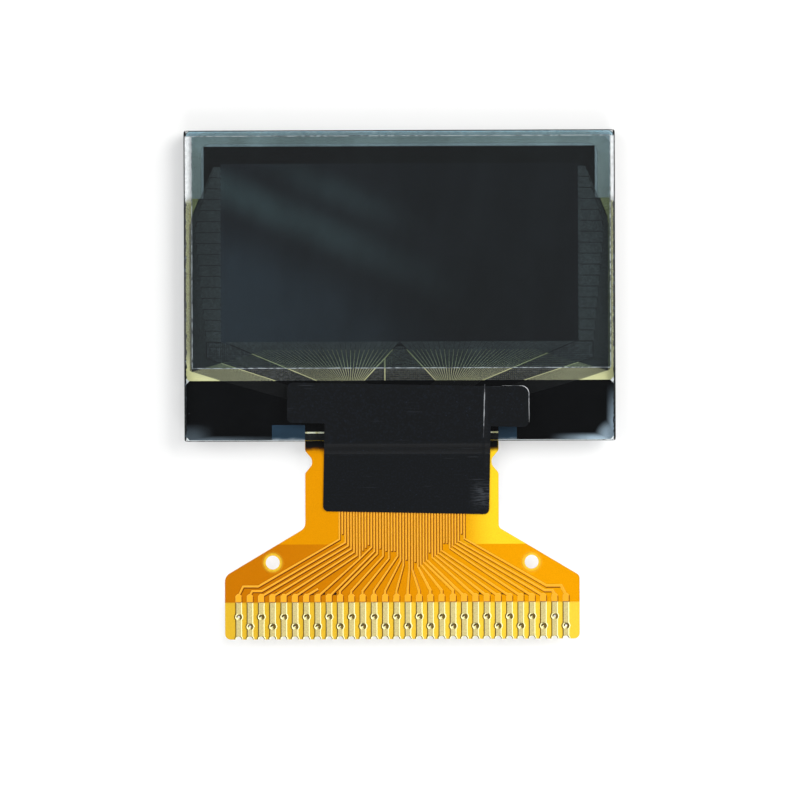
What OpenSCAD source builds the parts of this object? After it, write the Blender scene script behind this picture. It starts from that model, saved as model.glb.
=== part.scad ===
// Bare passive-matrix OLED panel with a chip on its glass and a solder-type flexible tail.
// It lies display side up: X right, Y up the display, Z towards the viewer.
// The origin is the centre of the cap glass's rear face. Millimetres.

/* [Display field] */
// Number of columns
col_n = 128; // [64:2:128]
// Number of rows
row_n = 64; // [32:4:64]
// Pitch of the picture elements
pixel_pitch = 0.17; // [0.15:0.005:0.18]
// Gap between neighbouring columns, and between neighbouring rows
pixel_gap = 0.02; // [0.01:0.005:0.05]
// How far the light-giving film passes the outermost elements
field_margin = 0.2; // [0.1:0.05:0.3]
// Length of the contact at the driven end of a row
row_contact = 0.22; // [0.1:0.02:0.25]
// Thickness of each film on the glass
film_t = 0.01; // [0.008:0.001:0.015]

/* [Front glass] */
// Width of the border left and right of the display field
side_border = 2.47; // [2.3:0.01:3]
// Height of the border above the display field
top_border = 2.21; // [2:0.01:2.6]
// Height of the border below the display field, up to the cap's edge
bottom_border = 2.41; // [2.2:0.01:2.8]
// Height of the ledge that the cap leaves open
ledge_h = 3.76; // [3.5:0.02:4.4]
// Thickness of the front glass
front_glass_t = 0.5; // [0.3:0.05:0.9]
// Size of the nicks at the glass corners
corner_nick = 0.22; // [0.05:0.01:0.4]

/* [Cap glass] */
// How far the cap stays back from the sides of the front glass
cap_side_gap = 0.05; // [0.02:0.01:0.2]
// Thickness of the cap glass
cap_t = 0.7; // [0.5:0.05:1.1]
// Width of the rim left and right of the etched recess
rim_side_w = 1; // [0.8:0.05:1.1]
// Width of the rim above and below the recess
rim_end_w = 0.8; // [0.8:0.025:1.1]
// Depth of the etched recess
recess_depth = 0.28; // [0.2:0.01:0.4]
// Corner radius of the recess
recess_r = 0.6; // [0.2:0.05:1]
// Gap round the moisture absorber in the recess
absorber_gap = 0.16; // [0.1:0.02:0.6]
// Thickness of the moisture absorber
absorber_t = 0.15; // [0.05:0.01:0.18]
// How far the glue bead on the rim stays back from the cap's edge
seal_gap = 0.08; // [0.02:0.01:0.3]

/* [Polarizer] */
// Width of the bare glass left and right of the polarizer, if it lay in the middle
polarizer_side_gap = 0.375; // [0.2:0.025:0.8]
// Height of the bare glass above and below it, if it lay in the middle of the cap
polarizer_end_gap = 0.54; // [0.3:0.02:0.9]
// Thickness of the polarizer
polarizer_t = 0.2; // [0.1:0.01:0.3]
// Sideways place of the polarizer's centre
polarizer_x = 0.1; // [-0.2:0.05:0.2]
// Place of the polarizer's centre up the display
polarizer_y = 0.2; // [0:0.05:0.3]

/* [Leads on the glass] */
// Rows or columns that one drawn lead carries
lead_group = 2; // [2, 4]
// How far the outermost side lead lies in from the edge of the glass
side_lead_edge = 0.35; // [0.3:0.01:0.45]
// Pitch of the drawn side leads
side_lead_pitch = 0.064; // [0.06:0.002:0.066]
// Width of a drawn side lead
side_lead_w = 0.042; // [0.02:0.002:0.05]
// Slope at which the upper side leads fan out, in degrees
side_fan_slope = 68.2; // [66:0.2:69]
// Gap between the rows' ends and the start of that fan
side_fan_gap = 0.36; // [0.3:0.02:0.4]
// Height above the cap's edge at which the outermost side lead turns in again
side_lead_turn = 0.65; // [0.5:0.01:0.75]
// Slope of the side leads after that turn, in degrees
side_lead_slope = 18; // [16:0.5:20]
// Share of the chip's end that the side leads' pads take up
side_lead_pad_share = 0.8; // [0.7:0.05:0.9]
// Column leads at the cap's edge: inner end of the bundle from the centre line
column_lead_in = 2.25; // [1.5:0.05:2.5]
// Column leads at the cap's edge: outer end of the bundle
column_lead_out = 5.1; // [4.8:0.05:5.6]
// Share of its pitch that a lead fills beside and under the chip
lead_share = 0.6; // [0.4:0.05:0.7]
// How far the leads' ends lie in from the edges of the chip
pad_inset = 0.12; // [0.06:0.01:0.16]
// Gap between the filling metal and the leads beside it
fill_gap = 0.05; // [0.03:0.01:0.08]
// Distance from the display field down to the middle filling
fill_drop = 0.3; // [0.2:0.05:0.6]
// Sideways place of the slit in the middle filling
slit_x = -0.93; // [-1.1:0.01:-0.7]
// Width of that slit
slit_w = 0.06; // [0.04:0.01:0.1]
// How far below the cap's upper edge the insulating film begins
film_top_gap = 4.2; // [3.9:0.05:4.3]
// Gap between the display field's films and the insulating film round them
film_gap = 0.32; // [0.1:0.02:0.4]

/* [Driver chip] */
// Length of the chip
chip_w = 6.76; // [6:0.02:7.4]
// Width of the chip
chip_h = 0.86; // [0.7:0.02:1]
// Thickness of the chip
chip_t = 0.3; // [0.2:0.02:0.4]
// Distance from the cap's edge to the chip's centre
chip_drop = 1.85; // [1.6:0.05:1.95]
// Thickness of the conducting film under the chip and the tail
bond_t = 0.02; // [0.01:0.005:0.03]
// How far the conducting film stands out round the chip
bond_lip = 0.12; // [0.05:0.01:0.14]

/* [Ledge coat] */
// Thickness of the black resin on the ledge
coat_t = 0.06; // [0.03:0.01:0.15]
// How far the leads and the tail's conducting film stay back from the glass's lower edge
bond_edge_gap = 0.06; // [0.02:0.01:0.2]
// How far the resin stays back from the edge of the glass
coat_inset = 0.08; // [0.02:0.02:0.3]
// Clearance of the resin round the chip's conducting film
coat_gap = 0.04; // [0.02:0.01:0.1]
// Width of the opening in the resin left of the tail's bonded end
window_left_w = 2.05; // [1:0.05:2.5]
// Width of that opening right of the bonded end
window_right_w = 1.14; // [0.6:0.02:2]
// Height of that opening above the glass's lower edge
window_h = 1.01; // [0.9:0.01:1.1]
// Thickness of the glue beside the bonded end
glue_t = 0.08; // [0.06:0.01:0.12]

/* [Tail] */
// Sideways place of the tail's centre line
tail_x = 0.1; // [-0.2:0.02:0.2]
// Width of the neck
neck_w = 12; // [11.6:0.02:12.4]
// Length of the tail's bonded end, under the front glass
bond_len = 0.53; // [0.4:0.01:0.7]
// Length of the tail below the glass
tail_len = 12.29; // [12:0.01:14]
// Height of the tail's straight sides, from its end to the shoulders
head_len = 3.93; // [3.8:0.01:4.2]
// Width of the film outside the centre lines of the outermost fingers
tail_side_gap = 0.85; // [0.7:0.01:1.2]
// Slope of the slanted shoulders, in degrees
shoulder_slope = 30.8; // [28:0.2:33]
// Radius in the left corner between neck and slant
neck_left_r = 0.55; // [0.2:0.05:0.9]
// Radius in the right corner between neck and slant
neck_right_r = 0.3; // [0.2:0.05:0.9]
// Radius of the left shoulder
shoulder_left_r = 0.6; // [0.2:0.05:1]
// Radius of the right shoulder
shoulder_right_r = 0.35; // [0.2:0.05:1]
// Radius of the end corners
end_r = 0.35; // [0.1:0.05:0.39]
// Depth of the relief notches in the neck
notch_depth = 0.43; // [0.3:0.01:0.5]
// Height of a notch's mouth
notch_h = 1.4; // [1.3:0.05:1.6]
// Height of a notch's floor before its corners are rounded
notch_floor = 0.36; // [0.32:0.02:0.4]
// Radius of the corners in a notch
notch_r = 0.4; // [0.3:0.02:0.44]
// Radius of the corners at a notch's mouth
notch_mouth_r = 0.3; // [0.1:0.05:0.4]
// Distance from the glass's lower edge to the notches' centres
notch_drop = 1.29; // [1.2:0.01:1.7]
// Thickness of the tail's base film
base_t = 0.03; // [0.02:0.005:0.06]
// Thickness of the copper on it
copper_t = 0.02; // [0.012:0.002:0.035]
// Thickness of each coverlay
coverlay_t = 0.03; // [0.02:0.005:0.05]
// Gap between the glass's lower edge and the front coverlay
cover_gap = 0.06; // [0.02:0.01:0.2]
// Height of the rear coverlay's upper edge above the tail's end
rear_cover_len = 5.9; // [5.5:0.05:6.3]
// Length of the bare fingers, from the tail's end to both coverlays
finger_len = 2.3; // [2.1:0.01:2.5]
// Distance from the tail's sides to the locating holes' centres
hole_side_gap = 2.97; // [2.4:0.01:3.2]
// Diameter of the locating holes
hole_d = 0.86; // [0.6:0.02:1]
// How far the locating holes' centres lie below the slanted edges
hole_drop = 0.93; // [0.8:0.01:1.05]

/* [Fingers] */
// Number of fingers
finger_n = 30; // [30]
// Pitch of the fingers
finger_pitch = 0.7; // [0.69:0.002:0.715]
// Width of a finger
finger_w = 0.4; // [0.3:0.02:0.46]
// Diameter of the plated hole in a finger
via_d = 0.3; // [0.2:0.02:0.34]
// Diameter of the copper round a plated hole
via_land_d = 0.56; // [0.46:0.02:0.6]
// Thickness of the plating in the holes
plating_t = 0.03; // [0.02:0.005:0.05]
// Height of the upper row of plated holes above the tail's end
via_upper = 1.4; // [1.35:0.01:1.6]
// Height of the lower row of plated holes above the tail's end
via_lower = 0.8; // [0.7:0.01:0.9]
// Diameter of the half-round cut in the end of a finger
half_hole_d = 0.36; // [0.2:0.02:0.4]
// Diameter of the copper round that cut
half_land_d = 0.56; // [0.46:0.02:0.6]

/* [Traces] */
// Number of copper lanes in the neck
lane_n = 44; // [44]
// Pitch of the lanes
lane_pitch = 0.18; // [0.175:0.001:0.185]
// Width of a lane
lane_w = 0.11; // [0.08:0.005:0.12]
// Width of a trace on the left slants
left_fan_w = 0.14; // [0.1:0.01:0.16]
// Width of a trace on the right slants
right_fan_w = 0.17; // [0.1:0.01:0.18]
// Slope of the outermost traces, in degrees
fan_slope = 30; // [29:0.5:31]
// Length of a finger's land under the coverlay
land_len = 0.4; // [0.3:0.01:0.5]
// Height above its land at which a steep trace stands over its finger
steep_len = 0.3; // [0.2:0.01:0.35]
// Height between the lands and the level runs of the outermost traces, and between those runs
level_step = 0.29; // [0.26:0.01:0.32]
// Height of the chamfers on that land
land_chamfer = 0.12; // [0.05:0.01:0.15]
// How far off its finger's centre a slanted trace meets the land
land_shift = 0.08; // [0:0.01:0.1]
// How far a blind lane ends above its neighbours' turns
blind_gap = 0.3; // [0.2:0.05:0.4]
// Reach of the short trace on a finger that nothing feeds
spare_reach = 0.72; // [0.3:0.02:0.8]

/* [Shield tape] */
// Width of bare neck left and right of the tape, if it lay in the middle
tape_side_gap = 0.85; // [0.5:0.05:1.2]
// Reach of the wings of the tape's cross bar
tape_wing = 2.33; // [1.8:0.01:2.6]
// Height of the cross bar
tape_bar_h = 2.5; // [2.2:0.05:2.7]
// Gap between the cap's edge line and the tape's upper left corner
tape_top_gap = 0.11; // [0.05:0.01:0.3]
// How far the tape reaches down the tail, from the glass's lower edge
tape_reach = 4.3; // [3.4:0.05:4.8]
// Sideways place of the tape's middle
tape_shift = 0.52; // [-0.6:0.02:0.6]
// Thickness of the tape
tape_t = 0.05; // [0.03:0.01:0.1]
// Radius of the tape's corners
tape_r = 0.32; // [0.1:0.02:0.4]
// Turn of the tape on the panel, in degrees
tape_turn = -1.2; // [-1.6:0.1:1.6]
// How far past the glass's lower edge the tape runs on level
tape_edge_gap = 0.06; // [0.02:0.01:0.2]
// Length of the easy step from there down to the tail
tape_drop = 0.85; // [0.7:0.05:1.1]

/* [Hidden] */
$fn = 32;
tape_steps = 8; // flats in the tape's step
land_fn = 12; // sides of the copper and the plating round the fingers' holes
past = 1; // how far a cut reaches past the piece it cuts

// Levels, from the table up
cap_top_z = cap_t;
row_z = cap_top_z; // rear of the row cathodes
organic_z = row_z + film_t;
lead_z = organic_z + film_t; // rear of all conductors on the front glass
glass_z = lead_z + film_t;
front_z = glass_z + front_glass_t;
bond_z = lead_z - bond_t; // front of the tail's copper and of the chip
base_z = bond_z - copper_t - base_t; // rear of the tail's base film

// Display field
field_w = col_n * pixel_pitch;
field_h = row_n * pixel_pitch;
field_y = (bottom_border - top_border) / 2;
organic_w = field_w + 2 * field_margin;
organic_h = field_h + 2 * pixel_pitch;
row_len = organic_w + 2 * row_contact;
line_w = pixel_pitch - pixel_gap;

// Panel, cap and polarizer
panel_w = field_w + 2 * side_border;
cap_w = panel_w - 2 * cap_side_gap;
cap_h = field_h + top_border + bottom_border;
panel_top_y = cap_h / 2;
cap_edge_y = -cap_h / 2;
ledge_end_y = cap_edge_y - ledge_h;
recess_w = cap_w - 2 * rim_side_w;
recess_h = cap_h - 2 * rim_end_w;
// smallest corner with which the absorber still clears the rounded corners of the recess
absorber_r = max(0.05, ((recess_r - absorber_gap) * sqrt(2) - recess_r + 0.01) / (sqrt(2) - 1));
polarizer_w = panel_w - 2 * polarizer_side_gap;
polarizer_h = cap_h - 2 * polarizer_end_gap;
film_top_y = panel_top_y - film_top_gap;
side_lead_x = panel_w / 2 - side_lead_edge;
side_pad_h = 2 * (lead_group * pixel_pitch - pixel_gap);

// Ledge
chip_y = cap_edge_y - chip_drop;
neck_left = tail_x - neck_w / 2;
neck_right = tail_x + neck_w / 2;
window_left = neck_left - window_left_w;
window_right = neck_right + window_right_w;
window_top = ledge_end_y + window_h;

// Tail
tail_w = (finger_n - 1) * finger_pitch + 2 * tail_side_gap;
bond_y = ledge_end_y + bond_len;
tail_end_y = ledge_end_y - tail_len;
shoulder_y = tail_end_y + head_len;
neck_end_y = shoulder_y + (tail_w - neck_w) / 2 * tan(shoulder_slope);
notch_y = ledge_end_y - notch_drop;
rear_cover_y = tail_end_y + rear_cover_len;
cover_end_y = tail_end_y + finger_len;
hole_x = tail_w / 2 - hole_side_gap;
hole_y = neck_end_y - (hole_x - neck_w / 2) * tan(shoulder_slope) - hole_drop;
land_y = cover_end_y + land_len;

// Tape
tape_neck_w = neck_w - 2 * tape_side_gap;
tape_w = tape_neck_w + 2 * tape_wing;
tape_x = tape_shift - tape_w / 2;
tape_y = cap_edge_y - tape_top_gap;
tape_h = ledge_h - tape_top_gap + tape_reach;

// Counts of drawn leads
side_lead_n = row_n / 2 / lead_group;
column_lead_n = col_n / lead_group;

// The lane that feeds each finger, from the left. Nothing feeds a finger marked 0.
finger_lane = [1, 3, 4, 5, 6, 7, 0, 8, 13, 14, 16, 18, 21, 22, 23,
               25, 26, 28, 29, 30, 31, 33, 34, 35, 36, 39, 40, 41, 42, 44];
// Fan groups of the left half: first finger, rise of its turn above the lands, drop to each next turn
left_groups = [[0, 3.5, 0.2], [7, 2.3, 0], [8, 2.75, 0.15], [12, 2.45, 0.28]];
// The right half is one group, counted from the outermost finger
right_group = [3.5, 0.145];
// Lanes that join a fed lane at its turn, and the rise at which each leaves its own lane
joined_lanes = [[12, 8, 3]];

// ---- helpers ----

function unit(v) = v / norm(v);
function left_of(v) = [-v[1], v[0]];

// Direction of a strip's edge point at point i of a path, mitred at the bends
function mitre(path, i) =
    let (last = len(path) - 1,
         before = unit(path[max(i, 1)] - path[max(i, 1) - 1]),
         after = unit(path[min(i, last - 1) + 1] - path[min(i, last - 1)]),
         normal = unit(left_of(before) + left_of(after)))
    normal / (normal * left_of(before));

// Outline of a strip along a path, with its own width at each point
function strip_outline(path, widths) = concat(
    [for (i = [0 : len(path) - 1]) path[i] + mitre(path, i) * widths[i] / 2],
    [for (i = [len(path) - 1 : -1 : 0]) path[i] - mitre(path, i) * widths[i] / 2]);

// A flat strip of a film or a foil along a path
module strip(path, widths, thick) {
    linear_extrude(thick)
        polygon(strip_outline(path, widths));
}

// Arc of a rounded corner between the edges before and after point i of an outline
function round_corner(points, i, r, steps = 6) =
    let (n = len(points),
         here = points[i],
         back = unit(points[(i + n - 1) % n] - here),
         on = unit(points[(i + 1) % n] - here),
         half = acos(back * on) / 2,
         centre = here + unit(back + on) * r / sin(half),
         from = here + back * r / tan(half) - centre,
         to = here + on * r / tan(half) - centre,
         start = atan2(from[1], from[0]),
         sweep_raw = atan2(to[1], to[0]) - start,
         sweep = sweep_raw > 180 ? sweep_raw - 360 : sweep_raw < -180 ? sweep_raw + 360 : sweep_raw)
    r == 0 ? [here] : [for (k = [0 : steps])
        centre + r * [cos(start + sweep * k / steps), sin(start + sweep * k / steps)]];

// An outline with a radius at each corner
function rounded(points, radii) =
    [for (i = [0 : len(points) - 1]) each round_corner(points, i, radii[i])];

function box_corners(w, h) = [[-w / 2, -h / 2], [w / 2, -h / 2], [w / 2, h / 2], [-w / 2, h / 2]];

module round_rect(w, h, r) {
    polygon(rounded(box_corners(w, h), [r, r, r, r]));
}

// A glass sheet between two heights, with nicked corners
module nicked_sheet(w, low_y, high_y, nick) {
    polygon([
        [-w / 2 + nick, low_y], [w / 2 - nick, low_y], [w / 2, low_y + nick],
        [w / 2, high_y - nick], [w / 2 - nick, high_y], [-w / 2 + nick, high_y],
        [-w / 2, high_y - nick], [-w / 2, low_y + nick]
    ]);
}

// A rectangle given by two opposite corners
module span(low_x, low_y, high_x, high_y) {
    translate([low_x, low_y])
        square([high_x - low_x, high_y - low_y]);
}

// ---- glass and films ----

module front_glass() {
    color([0.75, 0.84, 0.86, 0.4])
        translate([0, 0, glass_z])
        linear_extrude(front_glass_t)
        nicked_sheet(panel_w, ledge_end_y, panel_top_y, corner_nick);
}

module polarizer() {
    color([0.13, 0.14, 0.17])
        translate([polarizer_x, polarizer_y, front_z])
        linear_extrude(polarizer_t)
        square([polarizer_w, polarizer_h], center = true);
}

module column_anodes() {
    color([0.7, 0.8, 0.85, 0.5])
        for (i = [0 : col_n - 1])
            translate([(i - (col_n - 1) / 2) * pixel_pitch, field_y, lead_z])
            linear_extrude(film_t)
            square([line_w, field_h], center = true);
}

module organic_layer() {
    color([0.55, 0.6, 0.45])
        translate([0, field_y, organic_z])
        linear_extrude(film_t)
        square([organic_w, organic_h], center = true);
}

// One row: it runs behind the organic film, and its driven end steps up to the leads
module row_line(side) {
    foot_x = row_len / 2 - row_contact;
    rotate([90, 0, 0])
        linear_extrude(line_w, center = true)
        polygon([
            [-side * organic_w / 2, 0], [side * row_len / 2, 0],
            [side * row_len / 2, 2 * film_t], [side * foot_x, 2 * film_t],
            [side * foot_x, film_t], [-side * organic_w / 2, film_t]
        ]);
}

module row_cathodes() {
    color([0.5, 0.52, 0.55])
        for (i = [0 : row_n - 1])
            translate([0, field_y + (i - (row_n - 1) / 2) * pixel_pitch, row_z])
            row_line(i % 2 == 0 ? -1 : 1);
    // undriven edge rows
    color([0.5, 0.52, 0.55])
        for (side = [-1, 1])
            translate([0, field_y + side * (field_h + pixel_pitch) / 2, row_z + film_t / 2])
            cube([organic_w, line_w, film_t], center = true);
}

// Middle height of the rows of one side lead, counted from the top, and the line it runs down on
function side_row_y(i) = field_y + field_h / 2 - (i + 0.5) * 2 * lead_group * pixel_pitch;
function side_lane_x(i) = side_lead_x - i * side_lead_pitch;

// Where that lead leaves its rows and slants outwards
function side_leave_x(i) =
    row_len / 2 + side_fan_gap + (side_row_y(0) - side_row_y(i)) / tan(side_fan_slope)
    - i * side_lead_pitch / sin(side_fan_slope);

// Route of one side lead on the right
function side_lead_path(i) =
    let (row_y = side_row_y(i),
         lane_x = side_lane_x(i),
         leave_x = side_leave_x(i),
         turn_y = cap_edge_y + side_lead_turn + i * side_lead_pitch * tan((90 - side_lead_slope) / 2),
         edge_x = lane_x - (turn_y - cap_edge_y) / tan(side_lead_slope),
         pad_y = chip_y + side_lead_pad_share * chip_h * ((i + 0.5) / side_lead_n - 0.5),
         start = [[(organic_w + row_contact) / 2, row_y]],
         fan = leave_x < lane_x - side_lead_w / 2
             ? [[leave_x, row_y], [lane_x, row_y - (lane_x - leave_x) * tan(side_fan_slope)]]
             : [[lane_x, row_y]])
    concat(start, fan, [[lane_x, turn_y], [edge_x, cap_edge_y], [chip_w / 2 - pad_inset, pad_y]]);

// Outline of the plate at the start of a side lead
function side_plate(i) =
    let (inner_x = organic_w / 2 + pixel_gap,
         low_y = side_row_y(i) - side_pad_h / 2,
         cut = side_pad_h / 2 / tan(side_fan_slope))
    [[inner_x, low_y], [min(side_lane_x(i), side_leave_x(i) + cut), low_y],
     [min(side_lane_x(i), side_leave_x(i) - cut), low_y + side_pad_h], [inner_x, low_y + side_pad_h]];

// Each side lead starts as a plate that reaches from the contacts of its rows to the bundle,
// with its outer end cut along the lead, and ends under the chip
module row_leads() {
    end_w = side_lead_pad_share * chip_h / side_lead_n / 2;
    color([0.2, 0.2, 0.22])
        for (side = [0, 1], i = [0 : side_lead_n - 1]) {
            path = side_lead_path(i);
            widths = [for (k = [0 : len(path) - 1]) k == len(path) - 1 ? end_w : side_lead_w];
            translate([0, 0, lead_z])
                mirror([side, 0, 0])
                linear_extrude(film_t) {
                    polygon(side_plate(i));
                    polygon(strip_outline(path, widths));
                }
        }
}

// Route of one column lead on the right, counted from the centre line
function column_lead_path(i) =
    let (n = column_lead_n / 2,
         column_x = (i + 0.5) * lead_group * pixel_pitch,
         share = (i + 0.5) / n,
         edge_x = column_lead_in + (column_lead_out - column_lead_in) * share,
         pad_x = (chip_w / 2 - 2 * pad_inset) * share)
    [[column_x, field_y - field_h / 2], [edge_x, cap_edge_y], [pad_x, chip_y + chip_h / 2 - pad_inset]];

module column_leads() {
    n = column_lead_n / 2;
    bundle_pitch = (column_lead_out - column_lead_in) / n;
    pad_pitch = (chip_w / 2 - 2 * pad_inset) / n;
    widths = [lead_group * pixel_pitch - pixel_gap, bundle_pitch * lead_share, pad_pitch * lead_share];
    color([0.2, 0.2, 0.22])
        for (side = [0, 1], i = [0 : n - 1])
            translate([0, 0, lead_z])
            mirror([side, 0, 0])
            strip_level(column_lead_path(i), widths, film_t);
}

// A strip whose ends are cut level, across the display
module strip_level(path, widths, thick) {
    linear_extrude(thick)
        polygon(concat(
            [for (i = [0 : len(path) - 1]) path[i] + [widths[i] / 2, 0]],
            [for (i = [len(path) - 1 : -1 : 0]) path[i] - [widths[i] / 2, 0]]));
}

// Where an edge of the column leads' bundle on the right lies at a height
function bundle_edge_x(top_x, end_x, y) =
    end_x + (top_x - end_x) * (y - cap_edge_y) / (field_y - field_h / 2 - cap_edge_y);

// Filling on the right, between the column leads and the side leads
function side_fill() =
    let (column = column_lead_path(column_lead_n / 2 - 1),
         side = side_lead_path(side_lead_n - 1),
         top_y = side_row_y(side_lead_n - 1) - side_pad_h / 2 - fill_gap,
         top_x = column[0][0] + (lead_group * pixel_pitch - pixel_gap) / 2,
         end_x = column_lead_out,
         lean = (top_x - end_x) / (field_y - field_h / 2 - cap_edge_y),
         gap_x = fill_gap * norm([1, lean]),
         off = side_lead_w / 2 + fill_gap,
         lane_x = side_lane_x(side_lead_n - 1) - off,
         turn = side[len(side) - 3])
    [[bundle_edge_x(top_x, end_x, top_y) + gap_x, top_y], [lane_x, top_y],
     [lane_x, turn[1] + off * (1 / cos(side_lead_slope) - tan(side_lead_slope))],
     [side[len(side) - 2][0] - off / sin(side_lead_slope), cap_edge_y],
     [end_x + gap_x, cap_edge_y]];

// Dark metal that fills the border between the bundles of leads, with a slit in its middle plate
module filling_metal() {
    end_x = column_lead_in;
    top_x = pixel_gap / 2;
    lean = (end_x - top_x) / (field_y - field_h / 2 - cap_edge_y);
    gap_x = fill_gap * norm([1, lean]);
    top_y = field_y - field_h / 2 - fill_drop;
    half_w = bundle_edge_x(top_x, end_x, top_y) - gap_x;
    color([0.16, 0.16, 0.17])
        translate([0, 0, lead_z])
        linear_extrude(film_t) {
            for (side = [0, 1])
                mirror([side, 0, 0])
                polygon(side_fill());
            difference() {
                polygon([
                    [-half_w, top_y], [half_w, top_y],
                    [end_x - gap_x, cap_edge_y], [gap_x - end_x, cap_edge_y]
                ]);
                span(slit_x - slit_w / 2, cap_edge_y - past, slit_x + slit_w / 2, top_y + past);
            }
        }
}

// Short leads from the chip to the tail's lanes
module input_leads() {
    pad_pitch = (chip_w - 4 * pad_inset) / lane_n;
    color([0.2, 0.2, 0.22])
        for (i = [1 : lane_n])
            translate([0, 0, lead_z])
            strip_level(
                [[lane_x(i) * pad_pitch / lane_pitch, chip_y - chip_h / 2 + pad_inset],
                 [tail_x + lane_x(i), bond_y],
                 [tail_x + lane_x(i), ledge_end_y + bond_edge_gap]],
                [pad_pitch * lead_share, lane_w, lane_w], film_t);
}

// Protective film over the side leads and the lower border
module insulating_film() {
    inner_x = row_len / 2 + film_gap;
    inner_y = field_y - organic_h / 2 - film_gap;
    color([0.85, 0.72, 0.3, 0.5])
        translate([0, 0, organic_z])
        linear_extrude(film_t)
        difference() {
            nicked_sheet(cap_w, cap_edge_y, film_top_y, corner_nick);
            span(-inner_x, inner_y, inner_x, film_top_y + past);
        }
}

module seal_outline() {
    difference() {
        round_rect(cap_w - 2 * seal_gap, cap_h - 2 * seal_gap, recess_r + rim_end_w - seal_gap);
        round_rect(recess_w, recess_h, recess_r);
    }
}

// Glue ring: it stands on the cap and reaches the film, or the front glass above the film
module seal_bead() {
    color([0.85, 0.85, 0.75, 0.6]) {
        translate([0, 0, cap_top_z])
            linear_extrude(film_t)
            seal_outline();
        translate([0, 0, cap_top_z + film_t])
            linear_extrude(2 * film_t)
            intersection() {
                seal_outline();
                span(-panel_w, film_top_y, panel_w, cap_h);
            }
    }
}

module moisture_absorber() {
    color([0.05, 0.05, 0.06])
        translate([0, 0, cap_t - recess_depth])
        linear_extrude(absorber_t)
        round_rect(recess_w - 2 * absorber_gap, recess_h - 2 * absorber_gap, absorber_r);
}

module cap_glass() {
    color([0.75, 0.84, 0.86, 0.4])
        difference() {
            linear_extrude(cap_t)
                nicked_sheet(cap_w, cap_edge_y, panel_top_y, corner_nick);
            translate([0, 0, cap_t - recess_depth])
                linear_extrude(recess_depth + past)
                round_rect(recess_w, recess_h, recess_r);
        }
}

// ---- chip ledge ----

module driver_chip() {
    color([0.35, 0.36, 0.4])
        translate([-chip_w / 2, chip_y - chip_h / 2, bond_z - chip_t])
        cube([chip_w, chip_h, chip_t]);
}

module chip_bond_film() {
    color([0.6, 0.55, 0.4])
        translate([0, chip_y, bond_z])
        linear_extrude(bond_t)
        square([chip_w + 2 * bond_lip, chip_h + 2 * bond_lip], center = true);
}

module tail_bond_film() {
    color([0.6, 0.55, 0.4])
        translate([0, 0, bond_z])
        linear_extrude(bond_t)
        span(neck_left, ledge_end_y + bond_edge_gap, neck_right, bond_y);
}

module ledge_coat() {
    gap = bond_lip + coat_gap;
    color([0.03, 0.03, 0.035])
        translate([0, 0, lead_z - coat_t])
        linear_extrude(coat_t)
        difference() {
            nicked_sheet(panel_w - 2 * coat_inset, ledge_end_y + coat_inset, cap_edge_y, corner_nick);
            translate([0, chip_y])
                square([chip_w + 2 * gap, chip_h + 2 * gap], center = true);
            span(window_left, ledge_end_y - past, neck_left, window_top);
            span(window_left, ledge_end_y - past, window_right, bond_y + coat_gap);
            span(neck_right, ledge_end_y - past, window_right, window_top);
        }
}

// Glue left and right of the bonded end, between the resin and the tail
module bond_glue() {
    color([0.2, 0.3, 0.42, 0.8])
        translate([0, 0, lead_z - glue_t])
        linear_extrude(glue_t) {
            span(window_left, ledge_end_y + coat_inset, neck_left, window_top);
            span(neck_right, ledge_end_y + coat_inset, window_right, window_top);
        }
}

// ---- flexible tail ----

// Half of the tail's outline, from the lower end up to the neck's top
function tail_half() =
    let (edge = neck_w / 2, floor_x = neck_w / 2 - notch_depth)
    [[tail_w / 2, tail_end_y], [tail_w / 2, shoulder_y], [edge, neck_end_y],
     [edge, notch_y - notch_h / 2], [floor_x, notch_y - notch_floor / 2],
     [floor_x, notch_y + notch_floor / 2], [edge, notch_y + notch_h / 2], [edge, bond_y]];

// Radii of that half's corners
function half_radii(shoulder_r, neck_r) =
    [end_r, shoulder_r, neck_r, notch_mouth_r, notch_r, notch_r, notch_mouth_r, 0];

module tail_outline() {
    half = tail_half();
    right_radii = half_radii(shoulder_right_r, neck_right_r);
    left_radii = half_radii(shoulder_left_r, neck_left_r);
    other = [for (i = [len(half) - 1 : -1 : 0]) [-half[i][0], half[i][1]]];
    other_radii = [for (i = [len(half) - 1 : -1 : 0]) left_radii[i]];
    translate([tail_x, 0])
        difference() {
            polygon(rounded(concat(half, other), concat(right_radii, other_radii)));
            for (side = [-1, 1])
                translate([side * hole_x, hole_y])
                    circle(d = hole_d);
        }
}

// The part of the tail's outline between two heights
module tail_between(low_y, high_y) {
    intersection() {
        tail_outline();
        span(-tail_w, low_y, tail_w, high_y);
    }
}

function finger_x(i) = (i - (finger_n - 1) / 2) * finger_pitch;
function via_y(i) = tail_end_y + (i % 2 == 0 ? via_upper : via_lower);
function lane_x(i) = (i - (lane_n + 1) / 2) * lane_pitch;

// Holes for the fingers' plating
module finger_holes(widen) {
    for (i = [0 : finger_n - 1]) {
        translate([tail_x + finger_x(i), via_y(i)])
            circle(d = via_d + widen, $fn = land_fn);
        translate([tail_x + finger_x(i), tail_end_y])
            circle(d = half_hole_d + widen, $fn = land_fn);
    }
}

module tail_base_film() {
    color([0.85, 0.6, 0.15])
        translate([0, 0, base_z])
        linear_extrude(base_t)
        difference() {
            tail_outline();
            finger_holes(2 * plating_t);
        }
}

module front_coverlay() {
    color([0.93, 0.66, 0.1, 0.8])
        translate([0, 0, bond_z])
        linear_extrude(coverlay_t)
        tail_between(cover_end_y, ledge_end_y - cover_gap);
}

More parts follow.
